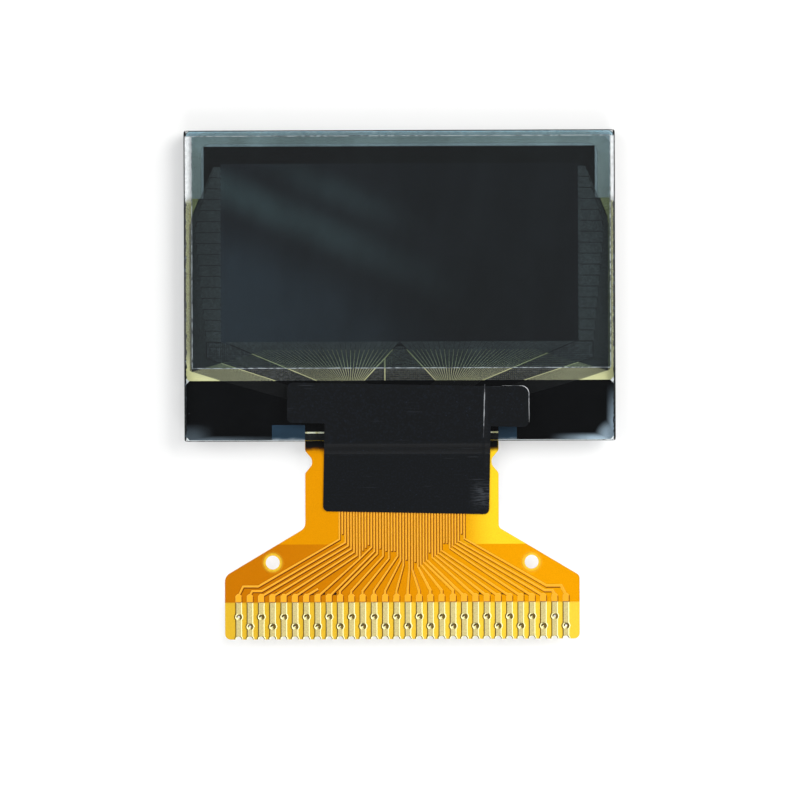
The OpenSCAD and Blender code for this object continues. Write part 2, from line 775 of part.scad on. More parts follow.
module rear_coverlay() {
    color([0.8, 0.5, 0.05, 0.8])
        translate([0, 0, base_z - coverlay_t])
        linear_extrude(coverlay_t)
        tail_between(cover_end_y, rear_cover_y);
}

// Height at which the trace of finger i turns out of its lane
function turn_y(i) = land_y + turn_rise(i);
function turn_rise(i) =
    i >= finger_n / 2 + 1 ? right_group[0] - right_group[1] * (finger_n - 1 - i)
    : i == finger_n / 2 ? right_group[0] - right_group[1] * (finger_n / 2 - 2)
    : let (g = [for (group = left_groups) if (group[0] <= i) group])
        g[len(g) - 1][1] - g[len(g) - 1][2] * (i - g[len(g) - 1][0]);

// Fingers fed by lanes at or beyond a lane, on one side
function fed_below(lane) = [for (i = [0 : finger_n - 1]) if (finger_lane[i] > 0 && finger_lane[i] < lane) i];
function fed_above(lane) = [for (i = [0 : finger_n - 1]) if (finger_lane[i] > lane) i];

// Lower end of a lane that feeds nothing: above the turns beside it, or above the trace that crosses below it
function blind_y(lane) =
    let (below = fed_below(lane),
         above = fed_above(lane),
         over = [for (j = joined_lanes) if (j[1] < lane && lane < j[0]) j])
    land_y + blind_gap + (len(over) > 0
        ? over[0][2] + (turn_rise(below[len(below) - 1]) - over[0][2])
            * (over[0][0] - lane) / (over[0][0] - over[0][1])
        : max(turn_rise(below[len(below) - 1]), turn_rise(above[0])));

// Route from the bonded end to the land of finger i
function trace_path(i) =
    let (out = sign(finger_x(i)),
         from_end = min(i, finger_n - 1 - i),
         lane = lane_x(finger_lane[i]),
         steep = turn_rise(i) > abs(finger_x(i) - lane),
         run_y = land_y + (2 - from_end) * level_step,
         run_x = lane + out * (turn_y(i) - run_y) / tan(fan_slope),
         level = from_end < 2 ? [[run_x, run_y], [finger_x(i) - out * (run_y - land_y) / 2, run_y]]
             : steep ? [[finger_x(i), land_y + steep_len]] : [],
         end_x = steep || from_end < 2 ? finger_x(i) : finger_x(i) - out * land_shift)
    concat([[lane, bond_y], [lane, turn_y(i)]], level,
           [[end_x, land_y], [end_x, (land_y + cover_end_y) / 2]]);

// The end of a trace under the coverlay, as wide as the finger it runs into
module trace_land(i) {
    top_w = finger_w - 2 * land_chamfer;
    translate([finger_x(i), land_y])
        polygon([
            [-finger_w / 2, -land_len], [finger_w / 2, -land_len], [finger_w / 2, 0],
            [top_w / 2, land_chamfer], [-top_w / 2, land_chamfer], [-finger_w / 2, 0]
        ]);
}

module trace(i) {
    path = finger_lane[i] > 0 ? trace_path(i)
        : [[finger_x(i) + spare_reach, land_y + spare_reach * tan(fan_slope)],
           [finger_x(i), land_y], [finger_x(i), (land_y + cover_end_y) / 2]];
    fan_w = finger_x(i) < 0 ? left_fan_w : right_fan_w;
    narrow = finger_lane[i] > 0 ? 2 : 0;
    linear_extrude(copper_t) {
        polygon(strip_outline(path, [for (k = [0 : len(path) - 1]) k < narrow ? lane_w : fan_w]));
        trace_land(i);
    }
}

module tail_copper() {
    joined = [for (j = joined_lanes) j[0]];
    color([0.93, 0.62, 0.2])
        translate([tail_x, 0, base_z + base_t]) {
            for (i = [0 : finger_n - 1])
                trace(i);
            for (lane = [2 : lane_n - 1])
                if (len(search(lane, finger_lane)) == 0 && len(search(lane, joined)) == 0)
                    strip([[lane_x(lane), bond_y], [lane_x(lane), blind_y(lane)]],
                          [lane_w, lane_w], copper_t);
            for (j = joined_lanes) {
                met = search(j[1], finger_lane)[0];
                strip([[lane_x(j[0]), bond_y], [lane_x(j[0]), land_y + j[2]], [lane_x(j[1]), turn_y(met)]],
                      [lane_w, lane_w, lane_w], copper_t);
            }
        }
}

// Outline of one finger: a bar with copper round its hole and round its end cut
module finger_land(i) {
    intersection() {
        union() {
            translate([-finger_w / 2, tail_end_y])
                square([finger_w, cover_end_y - tail_end_y]);
            translate([0, via_y(i)])
                circle(d = via_land_d, $fn = land_fn);
            translate([0, tail_end_y])
                circle(d = half_land_d, $fn = land_fn);
        }
        span(-finger_pitch, tail_end_y, finger_pitch, cover_end_y);
    }
}

// One plated finger: a land on each face, joined by the plating in its hole and end cut
module finger(i) {
    difference() {
        union() {
            translate([0, 0, base_z + base_t])
                linear_extrude(copper_t)
                finger_land(i);
            translate([0, 0, base_z - copper_t])
                linear_extrude(copper_t)
                finger_land(i);
            translate([0, 0, base_z])
                linear_extrude(base_t)
                intersection() {
                    union() {
                        translate([0, via_y(i)])
                            circle(d = via_d + 2 * plating_t, $fn = land_fn);
                        translate([0, tail_end_y])
                            circle(d = half_hole_d + 2 * plating_t, $fn = land_fn);
                    }
                    span(-finger_pitch, tail_end_y, finger_pitch, cover_end_y);
                }
        }
        translate([0, via_y(i), 0])
            cylinder(h = glass_z, d = via_d);
        translate([0, tail_end_y, 0])
            cylinder(h = glass_z, d = half_hole_d, $fn = land_fn);
    }
}

module tail_fingers() {
    color([0.8, 0.72, 0.48])
        for (i = [0 : finger_n - 1])
            translate([tail_x + finger_x(i), 0, 0])
            finger(i);
}

// ---- shield tape ----

// Height of the tape's rear face along the panel: flat on the glass, an easy step, flat on the tail
function tape_rear_z(y) =
    let (low_z = bond_z + coverlay_t,
         from = ledge_end_y - tape_edge_gap,
         share = max(0, min(1, (from - y) / tape_drop)))
    low_z + (front_z - low_z) * (1 + cos(180 * share)) / 2;

function tape_stations() = concat(
    [tape_y + past, ledge_end_y - tape_edge_gap],
    [for (k = [1 : tape_steps]) ledge_end_y - tape_edge_gap - tape_drop * k / tape_steps],
    [tape_y - tape_h - past]);

// Outline of the T, seen from the front, from the left end of its upper edge
module tape_outline() {
    translate([tape_x, tape_y])
        rotate(tape_turn) {
            translate([tape_w / 2, -tape_bar_h / 2])
                round_rect(tape_w, tape_bar_h, tape_r);
            translate([tape_w / 2, -tape_h / 2])
                round_rect(tape_neck_w, tape_h, tape_r);
        }
}

module shield_tape() {
    stations = tape_stations();
    profile = concat(
        [for (y = stations) [y, tape_rear_z(y)]],
        [for (k = [len(stations) - 1 : -1 : 0]) [stations[k], tape_rear_z(stations[k]) + tape_t]]);
    color([0.07, 0.07, 0.08])
        intersection() {
            linear_extrude(2 * front_z)
                tape_outline();
            translate([-panel_w / 2, 0, 0])
                rotate([90, 0, 90])
                linear_extrude(panel_w)
                polygon(profile);
        }
}

front_glass();
polarizer();
column_anodes();
organic_layer();
row_cathodes();
row_leads();
column_leads();
input_leads();
filling_metal();
insulating_film();
seal_bead();
moisture_absorber();
cap_glass();
driver_chip();
chip_bond_film();
tail_bond_film();
ledge_coat();
bond_glue();
tail_base_film();
tail_copper();
tail_fingers();
front_coverlay();
rear_coverlay();
shield_tape();
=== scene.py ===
"""Dress for a slim glass display panel with a driver chip on its ledge and a flexible solder tail.

The panel lies display side up. Lengths inside the classes are millimetres; they turn into metres
when a mesh is handed over to the scene.
"""

import logging
import math
from dataclasses import dataclass
from enum import Enum

import bmesh
import bpy
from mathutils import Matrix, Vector, noise


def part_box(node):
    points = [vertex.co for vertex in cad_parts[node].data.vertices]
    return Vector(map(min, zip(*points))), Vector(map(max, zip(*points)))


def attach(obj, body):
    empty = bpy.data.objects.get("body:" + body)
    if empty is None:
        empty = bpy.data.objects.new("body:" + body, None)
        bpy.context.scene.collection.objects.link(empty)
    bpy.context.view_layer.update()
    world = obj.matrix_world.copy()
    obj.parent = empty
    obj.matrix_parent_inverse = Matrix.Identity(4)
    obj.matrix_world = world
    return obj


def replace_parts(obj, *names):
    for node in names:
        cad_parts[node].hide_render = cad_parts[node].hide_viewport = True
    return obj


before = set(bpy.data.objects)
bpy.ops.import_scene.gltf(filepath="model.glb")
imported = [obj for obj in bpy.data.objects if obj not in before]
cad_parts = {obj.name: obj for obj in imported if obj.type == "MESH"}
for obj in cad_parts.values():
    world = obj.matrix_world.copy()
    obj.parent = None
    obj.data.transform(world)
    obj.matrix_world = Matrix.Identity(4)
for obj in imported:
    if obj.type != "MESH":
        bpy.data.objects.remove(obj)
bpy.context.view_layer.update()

MM = 0.001
LOG = logging.getLogger("display_panel")
Colour = tuple[float, float, float]
Point = tuple[float, float]


def shade(red: int, green: int, blue: int) -> Colour:
    """Turn a display colour of 0 to 255 into the linear colour that shaders take.

    Args:
        red: Red share.
        green: Green share.
        blue: Blue share.

    Returns:
        The linear colour.
    """
    def linear(level: int) -> float:
        """Return one linear channel."""
        part = level / 255
        return part / 12.92 if part <= 0.04045 else ((part + 0.055) / 1.055) ** 2.4

    return linear(red), linear(green), linear(blue)


class Facing(Enum):
    """Which way a face of a layer looks."""

    UP = 1
    DOWN = -1


class Recipe:
    """A material under way, with short calls for the shader nodes that the finishes share."""

    def __init__(self, name: str) -> None:
        """Start an empty material.

        Args:
            name: Name of the material.
        """
        self.material = bpy.data.materials.new(name)
        self.material.use_nodes = True
        self.tree = self.material.node_tree
        self.tree.nodes.clear()
        coords = self.node("ShaderNodeTexCoord")
        self.facing = coords.outputs["Normal"]
        scale = self.node("ShaderNodeVectorMath", operation="SCALE")
        self.tree.links.new(coords.outputs["Object"], scale.inputs[0])
        scale.inputs["Scale"].default_value = 1 / MM
        self.place = scale.outputs[0]

    def node(self, kind: str, **settings: object) -> bpy.types.Node:
        """Add a shader node.

        Args:
            kind: Blender's name of the node type.
            settings: Attributes to set on it.

        Returns:
            The new node.
        """
        made = self.tree.nodes.new(kind)
        for key, value in settings.items():
            setattr(made, key, value)
        return made

    def feed(self, socket: bpy.types.NodeSocket, value: object) -> None:
        """Put a number or colour on a socket, or link another socket to it.

        Args:
            socket: Input socket to fill.
            value: Number, tuple or output socket.
        """
        if isinstance(value, bpy.types.NodeSocket):
            self.tree.links.new(value, socket)
        elif isinstance(value, tuple) and len(value) == 3 and socket.type == "RGBA":
            socket.default_value = (*value, 1.0)
        else:
            socket.default_value = value

    def math(
        self, operation: str, first: object, second: object = 0.0, third: object = 0.0,
    ) -> bpy.types.NodeSocket:
        """Combine numbers.

        Args:
            operation: Blender's name of the operation.
            first: First number or socket.
            second: Second number or socket.
            third: Third number or socket.

        Returns:
            The result's socket.
        """
        made = self.node("ShaderNodeMath", operation=operation)
        for socket, value in zip(made.inputs, (first, second, third)):
            self.feed(socket, value)
        return made.outputs[0]

    def stretched(self, stretch: tuple[float, float, float], turn: float = 0.0) -> bpy.types.NodeSocket:
        """Scale the place in millimetres, after a turn about Z.

        Args:
            stretch: Factor along each axis.
            turn: Turn about Z in degrees.

        Returns:
            The socket of the scaled place.
        """
        made = self.node("ShaderNodeMapping")
        self.feed(made.inputs["Vector"], self.place)
        made.inputs["Rotation"].default_value = (0, 0, math.radians(turn))
        made.inputs["Scale"].default_value = stretch
        return made.outputs[0]

    def grain(
        self,
        per_mm: float,
        detail: float = 2.0,
        stretch: tuple[float, float, float] = (1, 1, 1),
        turn: float = 0.0,
    ) -> bpy.types.NodeSocket:
        """Make soft noise.

        Args:
            per_mm: How many features lie on a millimetre.
            detail: Octaves of finer noise.
            stretch: Factor along each axis.
            turn: Turn about Z in degrees.

        Returns:
            The socket of a number around a half.
        """
        made = self.node("ShaderNodeTexNoise")
        self.feed(made.inputs["Vector"], self.stretched(stretch, turn))
        made.inputs["Scale"].default_value = per_mm
        made.inputs["Detail"].default_value = detail
        return made.outputs[0]

    def specks(self, per_mm: float, size: float, jitter: float = 1.0) -> bpy.types.NodeSocket:
        """Make sparse round specks.

        Args:
            per_mm: Cells on a millimetre.
            size: Reach of a speck inside its cell, 0 to 1.
            jitter: How unevenly the specks lie.

        Returns:
            The socket of a mask that is 1 in a speck.
        """
        made = self.node("ShaderNodeTexVoronoi")
        self.feed(made.inputs["Vector"], self.place)
        made.inputs["Scale"].default_value = per_mm
        made.inputs["Randomness"].default_value = jitter
        near = self.between(made.outputs["Distance"], size, size * 0.4)
        rare = self.math("GREATER_THAN", self.grain(per_mm * 0.37, 1.0), 0.56)
        return self.math("MULTIPLY", near, rare)

    def between(self, value: object, start: float, end: float) -> bpy.types.NodeSocket:
        """Map a number smoothly to 0 at start and 1 at end.

        Args:
            value: Number or socket.
            start: Where the result is 0.
            end: Where the result is 1.

        Returns:
            The socket of the result.
        """
        made = self.node("ShaderNodeMapRange", interpolation_type="SMOOTHSTEP")
        self.feed(made.inputs["Value"], value)
        made.inputs["From Min"].default_value = start
        made.inputs["From Max"].default_value = end
        return made.outputs[0]

    def along(self, direction: tuple[float, float]) -> bpy.types.NodeSocket:
        """Measure the place along a direction.

        Args:
            direction: Direction in the plane, of length 1.

        Returns:
            The socket of the distance in millimetres.
        """
        made = self.node("ShaderNodeVectorMath", operation="DOT_PRODUCT")
        self.feed(made.inputs[0], self.place)
        made.inputs[1].default_value = (*direction, 0)
        return made.outputs["Value"]

    def faces(self, way: Facing) -> bpy.types.NodeSocket:
        """Mask the faces that look up or down.

        Args:
            way: Which faces.

        Returns:
            The socket of a mask that is 1 on them.
        """
        parts = self.node("ShaderNodeSeparateXYZ")
        self.feed(parts.inputs[0], self.facing)
        return self.math("GREATER_THAN", self.math("MULTIPLY", parts.outputs["Z"], float(way.value)), 0.5)

    def leans(
        self, direction: tuple[float, float], start: float = 0.08, end: float = 0.22,
    ) -> bpy.types.NodeSocket:
        """Mask the slopes that lean towards a direction.

        Args:
            direction: Direction in the plane, of length 1.
            start: Lean at which the mask is 0.
            end: Lean at which the mask is 1.

        Returns:
            The socket of the mask.
        """
        made = self.node("ShaderNodeVectorMath", operation="DOT_PRODUCT")
        self.feed(made.inputs[0], self.facing)
        made.inputs[1].default_value = (*direction, 0)
        return self.between(made.outputs["Value"], start, end)

    def tone(self, mask: object, low: object, high: object, mode: str = "MIX") -> bpy.types.NodeSocket:
        """Mix two colours.

        Args:
            mask: Share of the second colour.
            low: First colour or socket.
            high: Second colour or socket.
            mode: Blender's blend mode.

        Returns:
            The socket of the mixed colour.
        """
        made = self.node("ShaderNodeMix", data_type="RGBA", blend_type=mode)
        self.feed(made.inputs[0], mask)
        self.feed(made.inputs[6], low)
        self.feed(made.inputs[7], high)
        return made.outputs[2]

    def bump(self, height: object, depth: float, strength: float = 1.0) -> bpy.types.NodeSocket:
        """Turn a height into a bumped normal.

        Args:
            height: Socket of the height, 0 to 1.
            depth: Real height of 1, in millimetres.
            strength: Strength of the effect.

        Returns:
            The socket of the normal.
        """
        made = self.node("ShaderNodeBump")
        self.feed(made.inputs["Height"], height)
        made.inputs["Distance"].default_value = depth * MM
        made.inputs["Strength"].default_value = strength
        return made.outputs[0]

    def shader(self, kind: str, **inputs: object) -> bpy.types.NodeSocket:
        """Add a shader and fill its inputs.

        Args:
            kind: Short name of the shader, such as BsdfPrincipled.
            inputs: Values by input name, with underscores for spaces.

        Returns:
            The socket of the shader.
        """
        made = self.node("ShaderNode" + kind)
        for key, value in inputs.items():
            self.feed(made.inputs[key.replace("_", " ")], value)
        return made.outputs[0]

    def blend(
        self, share: object, first: bpy.types.NodeSocket, second: bpy.types.NodeSocket,
    ) -> bpy.types.NodeSocket:
        """Mix two shaders.

        Args:
            share: Share of the second shader.
            first: First shader.
            second: Second shader.

        Returns:
            The socket of the mixed shader.
        """
        made = self.node("ShaderNodeMixShader")
        self.feed(made.inputs[0], share)
        self.feed(made.inputs[1], first)
        self.feed(made.inputs[2], second)
        return made.outputs[0]

    def done(self, surface: bpy.types.NodeSocket) -> bpy.types.Material:
        """Close the material.

        Args:
            surface: Shader of the surface.

        Returns:
            The finished material.
        """
        out = self.node("ShaderNodeOutputMaterial")
        self.feed(out.inputs["Surface"], surface)
        return self.material


class Finish:
    """A surface finish that makes its material once."""

    made: dict[str, bpy.types.Material] = {}

    def material(self) -> bpy.types.Material:
        """Return the finish's material, made at the first call."""
        if self.name not in Finish.made:
            Finish.made[self.name] = self.mix(Recipe(self.name))
        return Finish.made[self.name]

    def mix(self, recipe: Recipe) -> bpy.types.Material:
        """Fill the recipe of this finish.

        Args:
            recipe: Empty recipe.

        Returns:
            The finished material.
        """
        raise NotImplementedError


@dataclass(frozen=True)
class Pane(Finish):
    """Clear glass or a dark sheet that light comes through, with a glossy top and cut sides."""

    name: str
    tint: Colour
    side: Colour
    gloss: float = 1.0
    rough: float = 0.03
    smear: float = 0.05
    haze: Colour = (0.0, 0.0, 0.0)
    haze_share: float = 0.0

    def mix(self, recipe: Recipe) -> bpy.types.Material:
        """Fill the recipe: tint and gloss on the top face, nothing below, dull cut sides.

        Args:
            recipe: Empty recipe.

        Returns:
            The finished material.
        """
        cloud = recipe.grain(0.35, 4.0, (1.0, 0.45, 1.0), 20)
        tint = recipe.tone(
            recipe.between(cloud, 0.35, 0.7), self.tint, tuple(part * 0.93 for part in self.tint),
        )
        rough = recipe.math("MULTIPLY_ADD", cloud, self.smear, self.rough)
        normal = recipe.bump(recipe.grain(9.0, 3.0), 0.0004, 0.4)
        through = recipe.shader("BsdfTransparent", Color=tint)
        body = recipe.shader("BsdfDiffuse", Color=self.haze)
        inside = recipe.blend(self.haze_share, through, body)
        shine = recipe.shader("BsdfGlossy", Color=(1.0, 1.0, 1.0), Roughness=rough, Normal=normal)
        share = recipe.math("MULTIPLY", recipe.shader("Fresnel", IOR=1.5), self.gloss)
        top = recipe.blend(share, inside, shine)
        clear = recipe.shader("BsdfTransparent", Color=(1.0, 1.0, 1.0))
        chips = recipe.between(recipe.grain(14.0, 4.0, (1, 1, 0.4)), 0.42, 0.6)
        cut = recipe.shader(
            "BsdfPrincipled",
            Base_Color=recipe.tone(chips, tuple(part * 0.35 for part in self.side), self.side),
            Roughness=recipe.math("MULTIPLY_ADD", chips, 0.35, 0.25),
        )
        flat = recipe.math("MAXIMUM", recipe.faces(Facing.UP), recipe.faces(Facing.DOWN))
        sides = recipe.blend(flat, cut, clear)
        return recipe.done(recipe.blend(recipe.faces(Facing.UP), sides, top))


@dataclass(frozen=True)
class Metal(Finish):
    """Thin metal with rolled grain and uneven tarnish."""

    name: str
    colour: Colour
    worn: Colour
    metallic: float = 1.0
    rough: float = 0.35
    grain_mm: float = 20.0
    stretch: tuple[float, float, float] = (1.0, 0.3, 1.0)
    relief: float = 0.002

    def mix(self, recipe: Recipe) -> bpy.types.Material:
        """Fill the recipe: mottled colour, grained gloss.

        Args:
            recipe: Empty recipe.

        Returns:
            The finished material.
        """
        mottle = recipe.between(recipe.grain(self.grain_mm, 3.0, self.stretch), 0.35, 0.68)
        broad = recipe.between(recipe.grain(1.3, 2.0), 0.35, 0.7)
        colour = recipe.tone(mottle, self.colour, self.worn)
        colour = recipe.tone(recipe.math("MULTIPLY", broad, 0.2), colour, self.worn)
        return recipe.done(recipe.shader(
            "BsdfPrincipled", Base_Color=colour, Metallic=self.metallic,
            Roughness=recipe.math("MULTIPLY_ADD", mottle, 0.18, self.rough),
            Normal=recipe.bump(mottle, self.relief, 0.5),
        ))


@dataclass(frozen=True)
class Resin(Finish):
    """Opaque resin, paint or pressed powder with a soft skin."""

    name: str
    colour: Colour
    dust: Colour
    rough: float = 0.3
    grain_mm: float = 6.0
    relief: float = 0.003
    dust_share: float = 0.2
    specular: float = 0.5

    def mix(self, recipe: Recipe) -> bpy.types.Material:
        """Fill the recipe: clouded colour with sparse dust.

        Args:
            recipe: Empty recipe.

        Returns:
            The finished material.
        """
        cloud = recipe.between(recipe.grain(self.grain_mm, 4.0), 0.3, 0.75)
        colour = recipe.tone(recipe.math("MULTIPLY", cloud, self.dust_share), self.colour, self.dust)
        specks = recipe.specks(2.6, 0.1)
        colour = recipe.tone(recipe.math("MULTIPLY", specks, 0.5), colour, self.dust)
        return recipe.done(recipe.shader(
            "BsdfPrincipled", Base_Color=colour, Specular_IOR_Level=self.specular,
            Roughness=recipe.math("MULTIPLY_ADD", cloud, 0.15, self.rough),
            Normal=recipe.bump(cloud, self.relief, 0.5),
        ))


@dataclass(frozen=True)
class CornerCoat(Finish):
    """Black resin with a painted pale glow of light at the outer lower corners."""

    name: str = "black_coat"
    black: Colour = shade(8, 9, 11)
    dust: Colour = shade(120, 126, 136)
    # Painted light: the pale colour and the two places below give a painted glow at the lower right corner
    # and a faint painted highlight along the lower left edge.
    painted_glow: Colour = shade(206, 226, 244)
    right: Point = (13.3, -11.4)
    left: Point = (-13.3, -11.45)

    def mix(self, recipe: Recipe) -> bpy.types.Material:
        """Fill the recipe: black gloss, sparse dust, a painted glow of light at each lower corner.

        Args:
            recipe: Empty recipe.

        Returns:
            The finished material.
        """
        specks = recipe.specks(1.7, 0.055)
        cloud = recipe.grain(1.6, 3.0)
        colour = recipe.tone(recipe.math("MULTIPLY", specks, 0.8), self.black, self.dust)
        # Painted light: a pale glow round the lower right corner and along its lower and outer edges, and a
        # faint highlight along the lower left edge.
        side = recipe.math("SUBTRACT", recipe.along((1.0, 0.0)), self.right[0])
        foot = recipe.math("SUBTRACT", recipe.along((0.0, 1.0)), self.right[1])
        square = recipe.math("MULTIPLY_ADD", side, side, recipe.math("MULTIPLY", foot, foot))
        near = recipe.between(recipe.math("SQRT", square), 1.35, 0.25)
        low = recipe.math("MULTIPLY", recipe.between(side, -4.2, -0.4), recipe.between(foot, 0.42, 0.0))
        edge = recipe.math("MULTIPLY", recipe.between(side, -0.55, 0.0), recipe.between(foot, 3.6, 0.6))
        right = recipe.math("MAXIMUM", near, recipe.math("MAXIMUM", low, edge))
        other = recipe.math("SUBTRACT", self.left[0], recipe.along((1.0, 0.0)))
        soft = recipe.math("MULTIPLY", recipe.between(other, -1.9, 0.1), recipe.between(foot, 1.1, -0.1))
        line = recipe.math("MULTIPLY", recipe.between(other, -7.4, -1.0), recipe.between(foot, 0.28, -0.05))
        left = recipe.math("MULTIPLY", recipe.math("MAXIMUM", soft, line), 0.22)
        painted_glow = recipe.math(
            "MULTIPLY", recipe.math("MAXIMUM", right, left), recipe.math("MULTIPLY_ADD", cloud, 0.4, 0.8),
        )
        return recipe.done(recipe.shader(
            "BsdfPrincipled", Base_Color=recipe.tone(painted_glow, colour, self.painted_glow), Specular_IOR_Level=0.3,
            Roughness=recipe.math("MULTIPLY_ADD", cloud, 0.1, 0.14),
        ))


@dataclass(frozen=True)
class TapeSkin(Finish):
    """Black polyester tape with fine dust and a few scratches."""

    name: str = "tape_skin"
    black: Colour = shade(17, 19, 21)
    dust: Colour = shade(44, 56, 74)
    scratch_and_sheen: Colour = shade(74, 78, 84)
    # Place of the painted grey sheen on the wrinkles near the lower corner.
    worn: Point = (5.0, -14.9)

    def mix(self, recipe: Recipe) -> bpy.types.Material:
        """Fill the recipe: black skin, dust specks, scratches and a painted grey sheen on the wrinkles near
        the lower corner.

        Args:
            recipe: Empty recipe.

        Returns:
            The finished material.
        """
        fine = recipe.grain(9.0, 3.0)
        colour = recipe.tone(
            recipe.math("MULTIPLY", recipe.between(fine, 0.45, 0.75), 0.12), self.black, self.dust,
        )
        colour = recipe.tone(recipe.math("MULTIPLY", recipe.specks(3.4, 0.11), 0.7), colour, self.dust)
        lines = recipe.between(recipe.grain(1.6, 1.0, (0.2, 12.0, 1.0), 48), 0.7, 0.74)
        near = recipe.between(recipe.grain(0.4, 1.0), 0.52, 0.62)
        colour = recipe.tone(
            recipe.math("MULTIPLY", recipe.math("MULTIPLY", lines, near), 0.5), colour, self.scratch_and_sheen,
        )
        # Painted highlight: a grey sheen on the wrinkles near the lower corner, in the same grey as the
        # scratches.
        right = recipe.between(recipe.along((1.0, 0.0)), self.worn[0] - 0.9, self.worn[0])
        low = recipe.between(
            recipe.math("ABSOLUTE", recipe.math("SUBTRACT", recipe.along((0.0, 1.0)), self.worn[1])),
            1.1,
            0.2,
        )
        painted_wrinkle_sheen = recipe.between(recipe.grain(5.0, 2.0, (0.35, 2.2, 1.0), 38), 0.42, 0.62)
        worn = recipe.math("MULTIPLY", recipe.math("MULTIPLY", right, low), painted_wrinkle_sheen)
        colour = recipe.tone(recipe.math("MULTIPLY", worn, 0.45), colour, self.scratch_and_sheen)
        return recipe.done(recipe.shader(
            "BsdfPrincipled", Base_Color=colour, Specular_IOR_Level=0.1,
            Roughness=recipe.math("MULTIPLY_ADD", fine, 0.12, 0.4), Normal=recipe.bump(fine, 0.0006, 0.3),
        ))


@dataclass(frozen=True)
class FlexFilm(Finish):
    """Amber coverlay with painted light, darker towards the left and yellower towards the right, and browner
    where the rear film backs it.
    """

    name: str
    share: float
    # Painted light: each pair runs from a darker shaded colour on the left to a brighter lit colour on the
    # right.
    neck_shaded_left: Colour = shade(222, 152, 0)
    neck_lit_right: Colour = shade(255, 222, 46)
    wide_shaded_left: Colour = shade(194, 118, 2)
    wide_lit_right: Colour = shade(234, 164, 0)
    tint: Colour = (0.95, 0.62, 0.02)
    backed_y: float = -17.9

    def mix(self, recipe: Recipe) -> bpy.types.Material:
        """Fill the recipe: the film's colour zones with painted light from left to right, fine grain and
        soft waves.

        Args:
            recipe: Empty recipe.

        Returns:
            The finished material.
        """
        across = recipe.along((1.0, 0.0))
        up = recipe.along((0.0, 1.0))
        fine = recipe.grain(14.0, 3.0)
        # Painted light: the film turns from the darker left colour to the brighter right colour across the
        # tail, as if lit from the right.
        neck = recipe.tone(recipe.between(across, 3.2, 6.0), self.neck_shaded_left, self.neck_lit_right)
        wide = recipe.tone(recipe.between(across, -9.0, 8.5), self.wide_shaded_left, self.wide_lit_right)
        colour = recipe.tone(recipe.between(up, self.backed_y - 0.03, self.backed_y + 0.01), wide, neck)
        grain = recipe.math("MULTIPLY", recipe.between(fine, 0.3, 0.8), 0.16)
        colour = recipe.tone(grain, colour, tuple(part * 0.55 for part in self.wide_shaded_left))
        normal = recipe.bump(recipe.grain(0.8, 3.0, (1.0, 0.35, 1.0)), 0.02, 0.3)
        through = recipe.shader("BsdfTransparent", Color=self.tint)
        inside = recipe.blend(self.share, through, recipe.shader("BsdfDiffuse", Color=colour))
        shine = recipe.shader("BsdfGlossy", Color=(1.0, 0.9, 0.6), Normal=normal, Roughness=0.3)
        gloss = recipe.math("MULTIPLY", recipe.shader("Fresnel", IOR=1.5), 0.35)
        top = recipe.blend(gloss, inside, shine)
        clear = recipe.shader("BsdfTransparent", Color=(1.0, 1.0, 1.0))
        cut = recipe.shader("BsdfDiffuse", Color=tuple(part * 0.6 for part in self.neck_shaded_left))
        flat = recipe.math("MAXIMUM", recipe.faces(Facing.UP), recipe.faces(Facing.DOWN))
        return recipe.done(recipe.blend(recipe.faces(Facing.UP), recipe.blend(flat, cut, clear), top))


@dataclass(frozen=True)
class Relief(Finish):
    """A skin with a painted highlight on the slopes that face one way and painted shade on those that face
    the other.
    """

    name: str
    flat: Colour
    light: Colour
    dark: Colour
    shaded_way: Point
    lit_way: Point
    rough: float = 0.4
    metallic: float = 0.0
    grain_mm: float = 16.0
    mottled: float = 0.35

    def mix(self, recipe: Recipe) -> bpy.types.Material:
        """Fill the recipe: grained flats, painted shade on the slopes facing one way, a painted highlight on
        those facing the other.

        Args:
            recipe: Empty recipe.

        Returns:
            The finished material.
        """
        mottle = recipe.between(recipe.grain(self.grain_mm, 3.0), 0.3, 0.7)
        colour = recipe.tone(
            recipe.math("MULTIPLY", mottle, self.mottled),
            self.flat,
            tuple(part * 0.55 for part in self.flat),
        )
        # Painted light: slopes facing one way take a painted highlight colour, slopes facing the other way a
        # painted shade colour.
        colour = recipe.tone(recipe.leans(self.lit_way), colour, self.light)
        colour = recipe.tone(recipe.leans(self.shaded_way), colour, self.dark)
        return recipe.done(recipe.shader(
            "BsdfPrincipled", Base_Color=colour, Metallic=self.metallic, Specular_IOR_Level=0.3,
            Roughness=recipe.math("MULTIPLY_ADD", mottle, 0.2, self.rough),
            Normal=recipe.bump(mottle, 0.002, 0.5),
        ))


@dataclass(frozen=True)
class Fading(Finish):
    """A soft-edged skin that fades out along a direction."""

    name: str
    core: Colour
    fringe: Colour
    way: Point
    start: float
    end: float
    most: float = 1.0
    per_mm: float = 3.0

    def mix(self, recipe: Recipe) -> bpy.types.Material:
        """Fill the recipe: full at one end, clear at the other, with an uneven edge.

        Args:
            recipe: Empty recipe.

        Returns:
            The finished material.
        """
        wander = recipe.math("MULTIPLY_ADD", recipe.grain(self.per_mm, 3.0), 0.3, -0.15)
        place = recipe.math("ADD", recipe.along(self.way), wander)
        full = recipe.between(place, self.start, self.end)
        body = recipe.shader(
            "BsdfPrincipled", Base_Color=recipe.tone(full, self.fringe, self.core),
            Roughness=0.4, Specular_IOR_Level=0.2,
        )
        through = recipe.shader("BsdfTransparent", Color=(1.0, 1.0, 1.0))
        return recipe.done(recipe.blend(recipe.math("MULTIPLY", full, self.most), through, body))


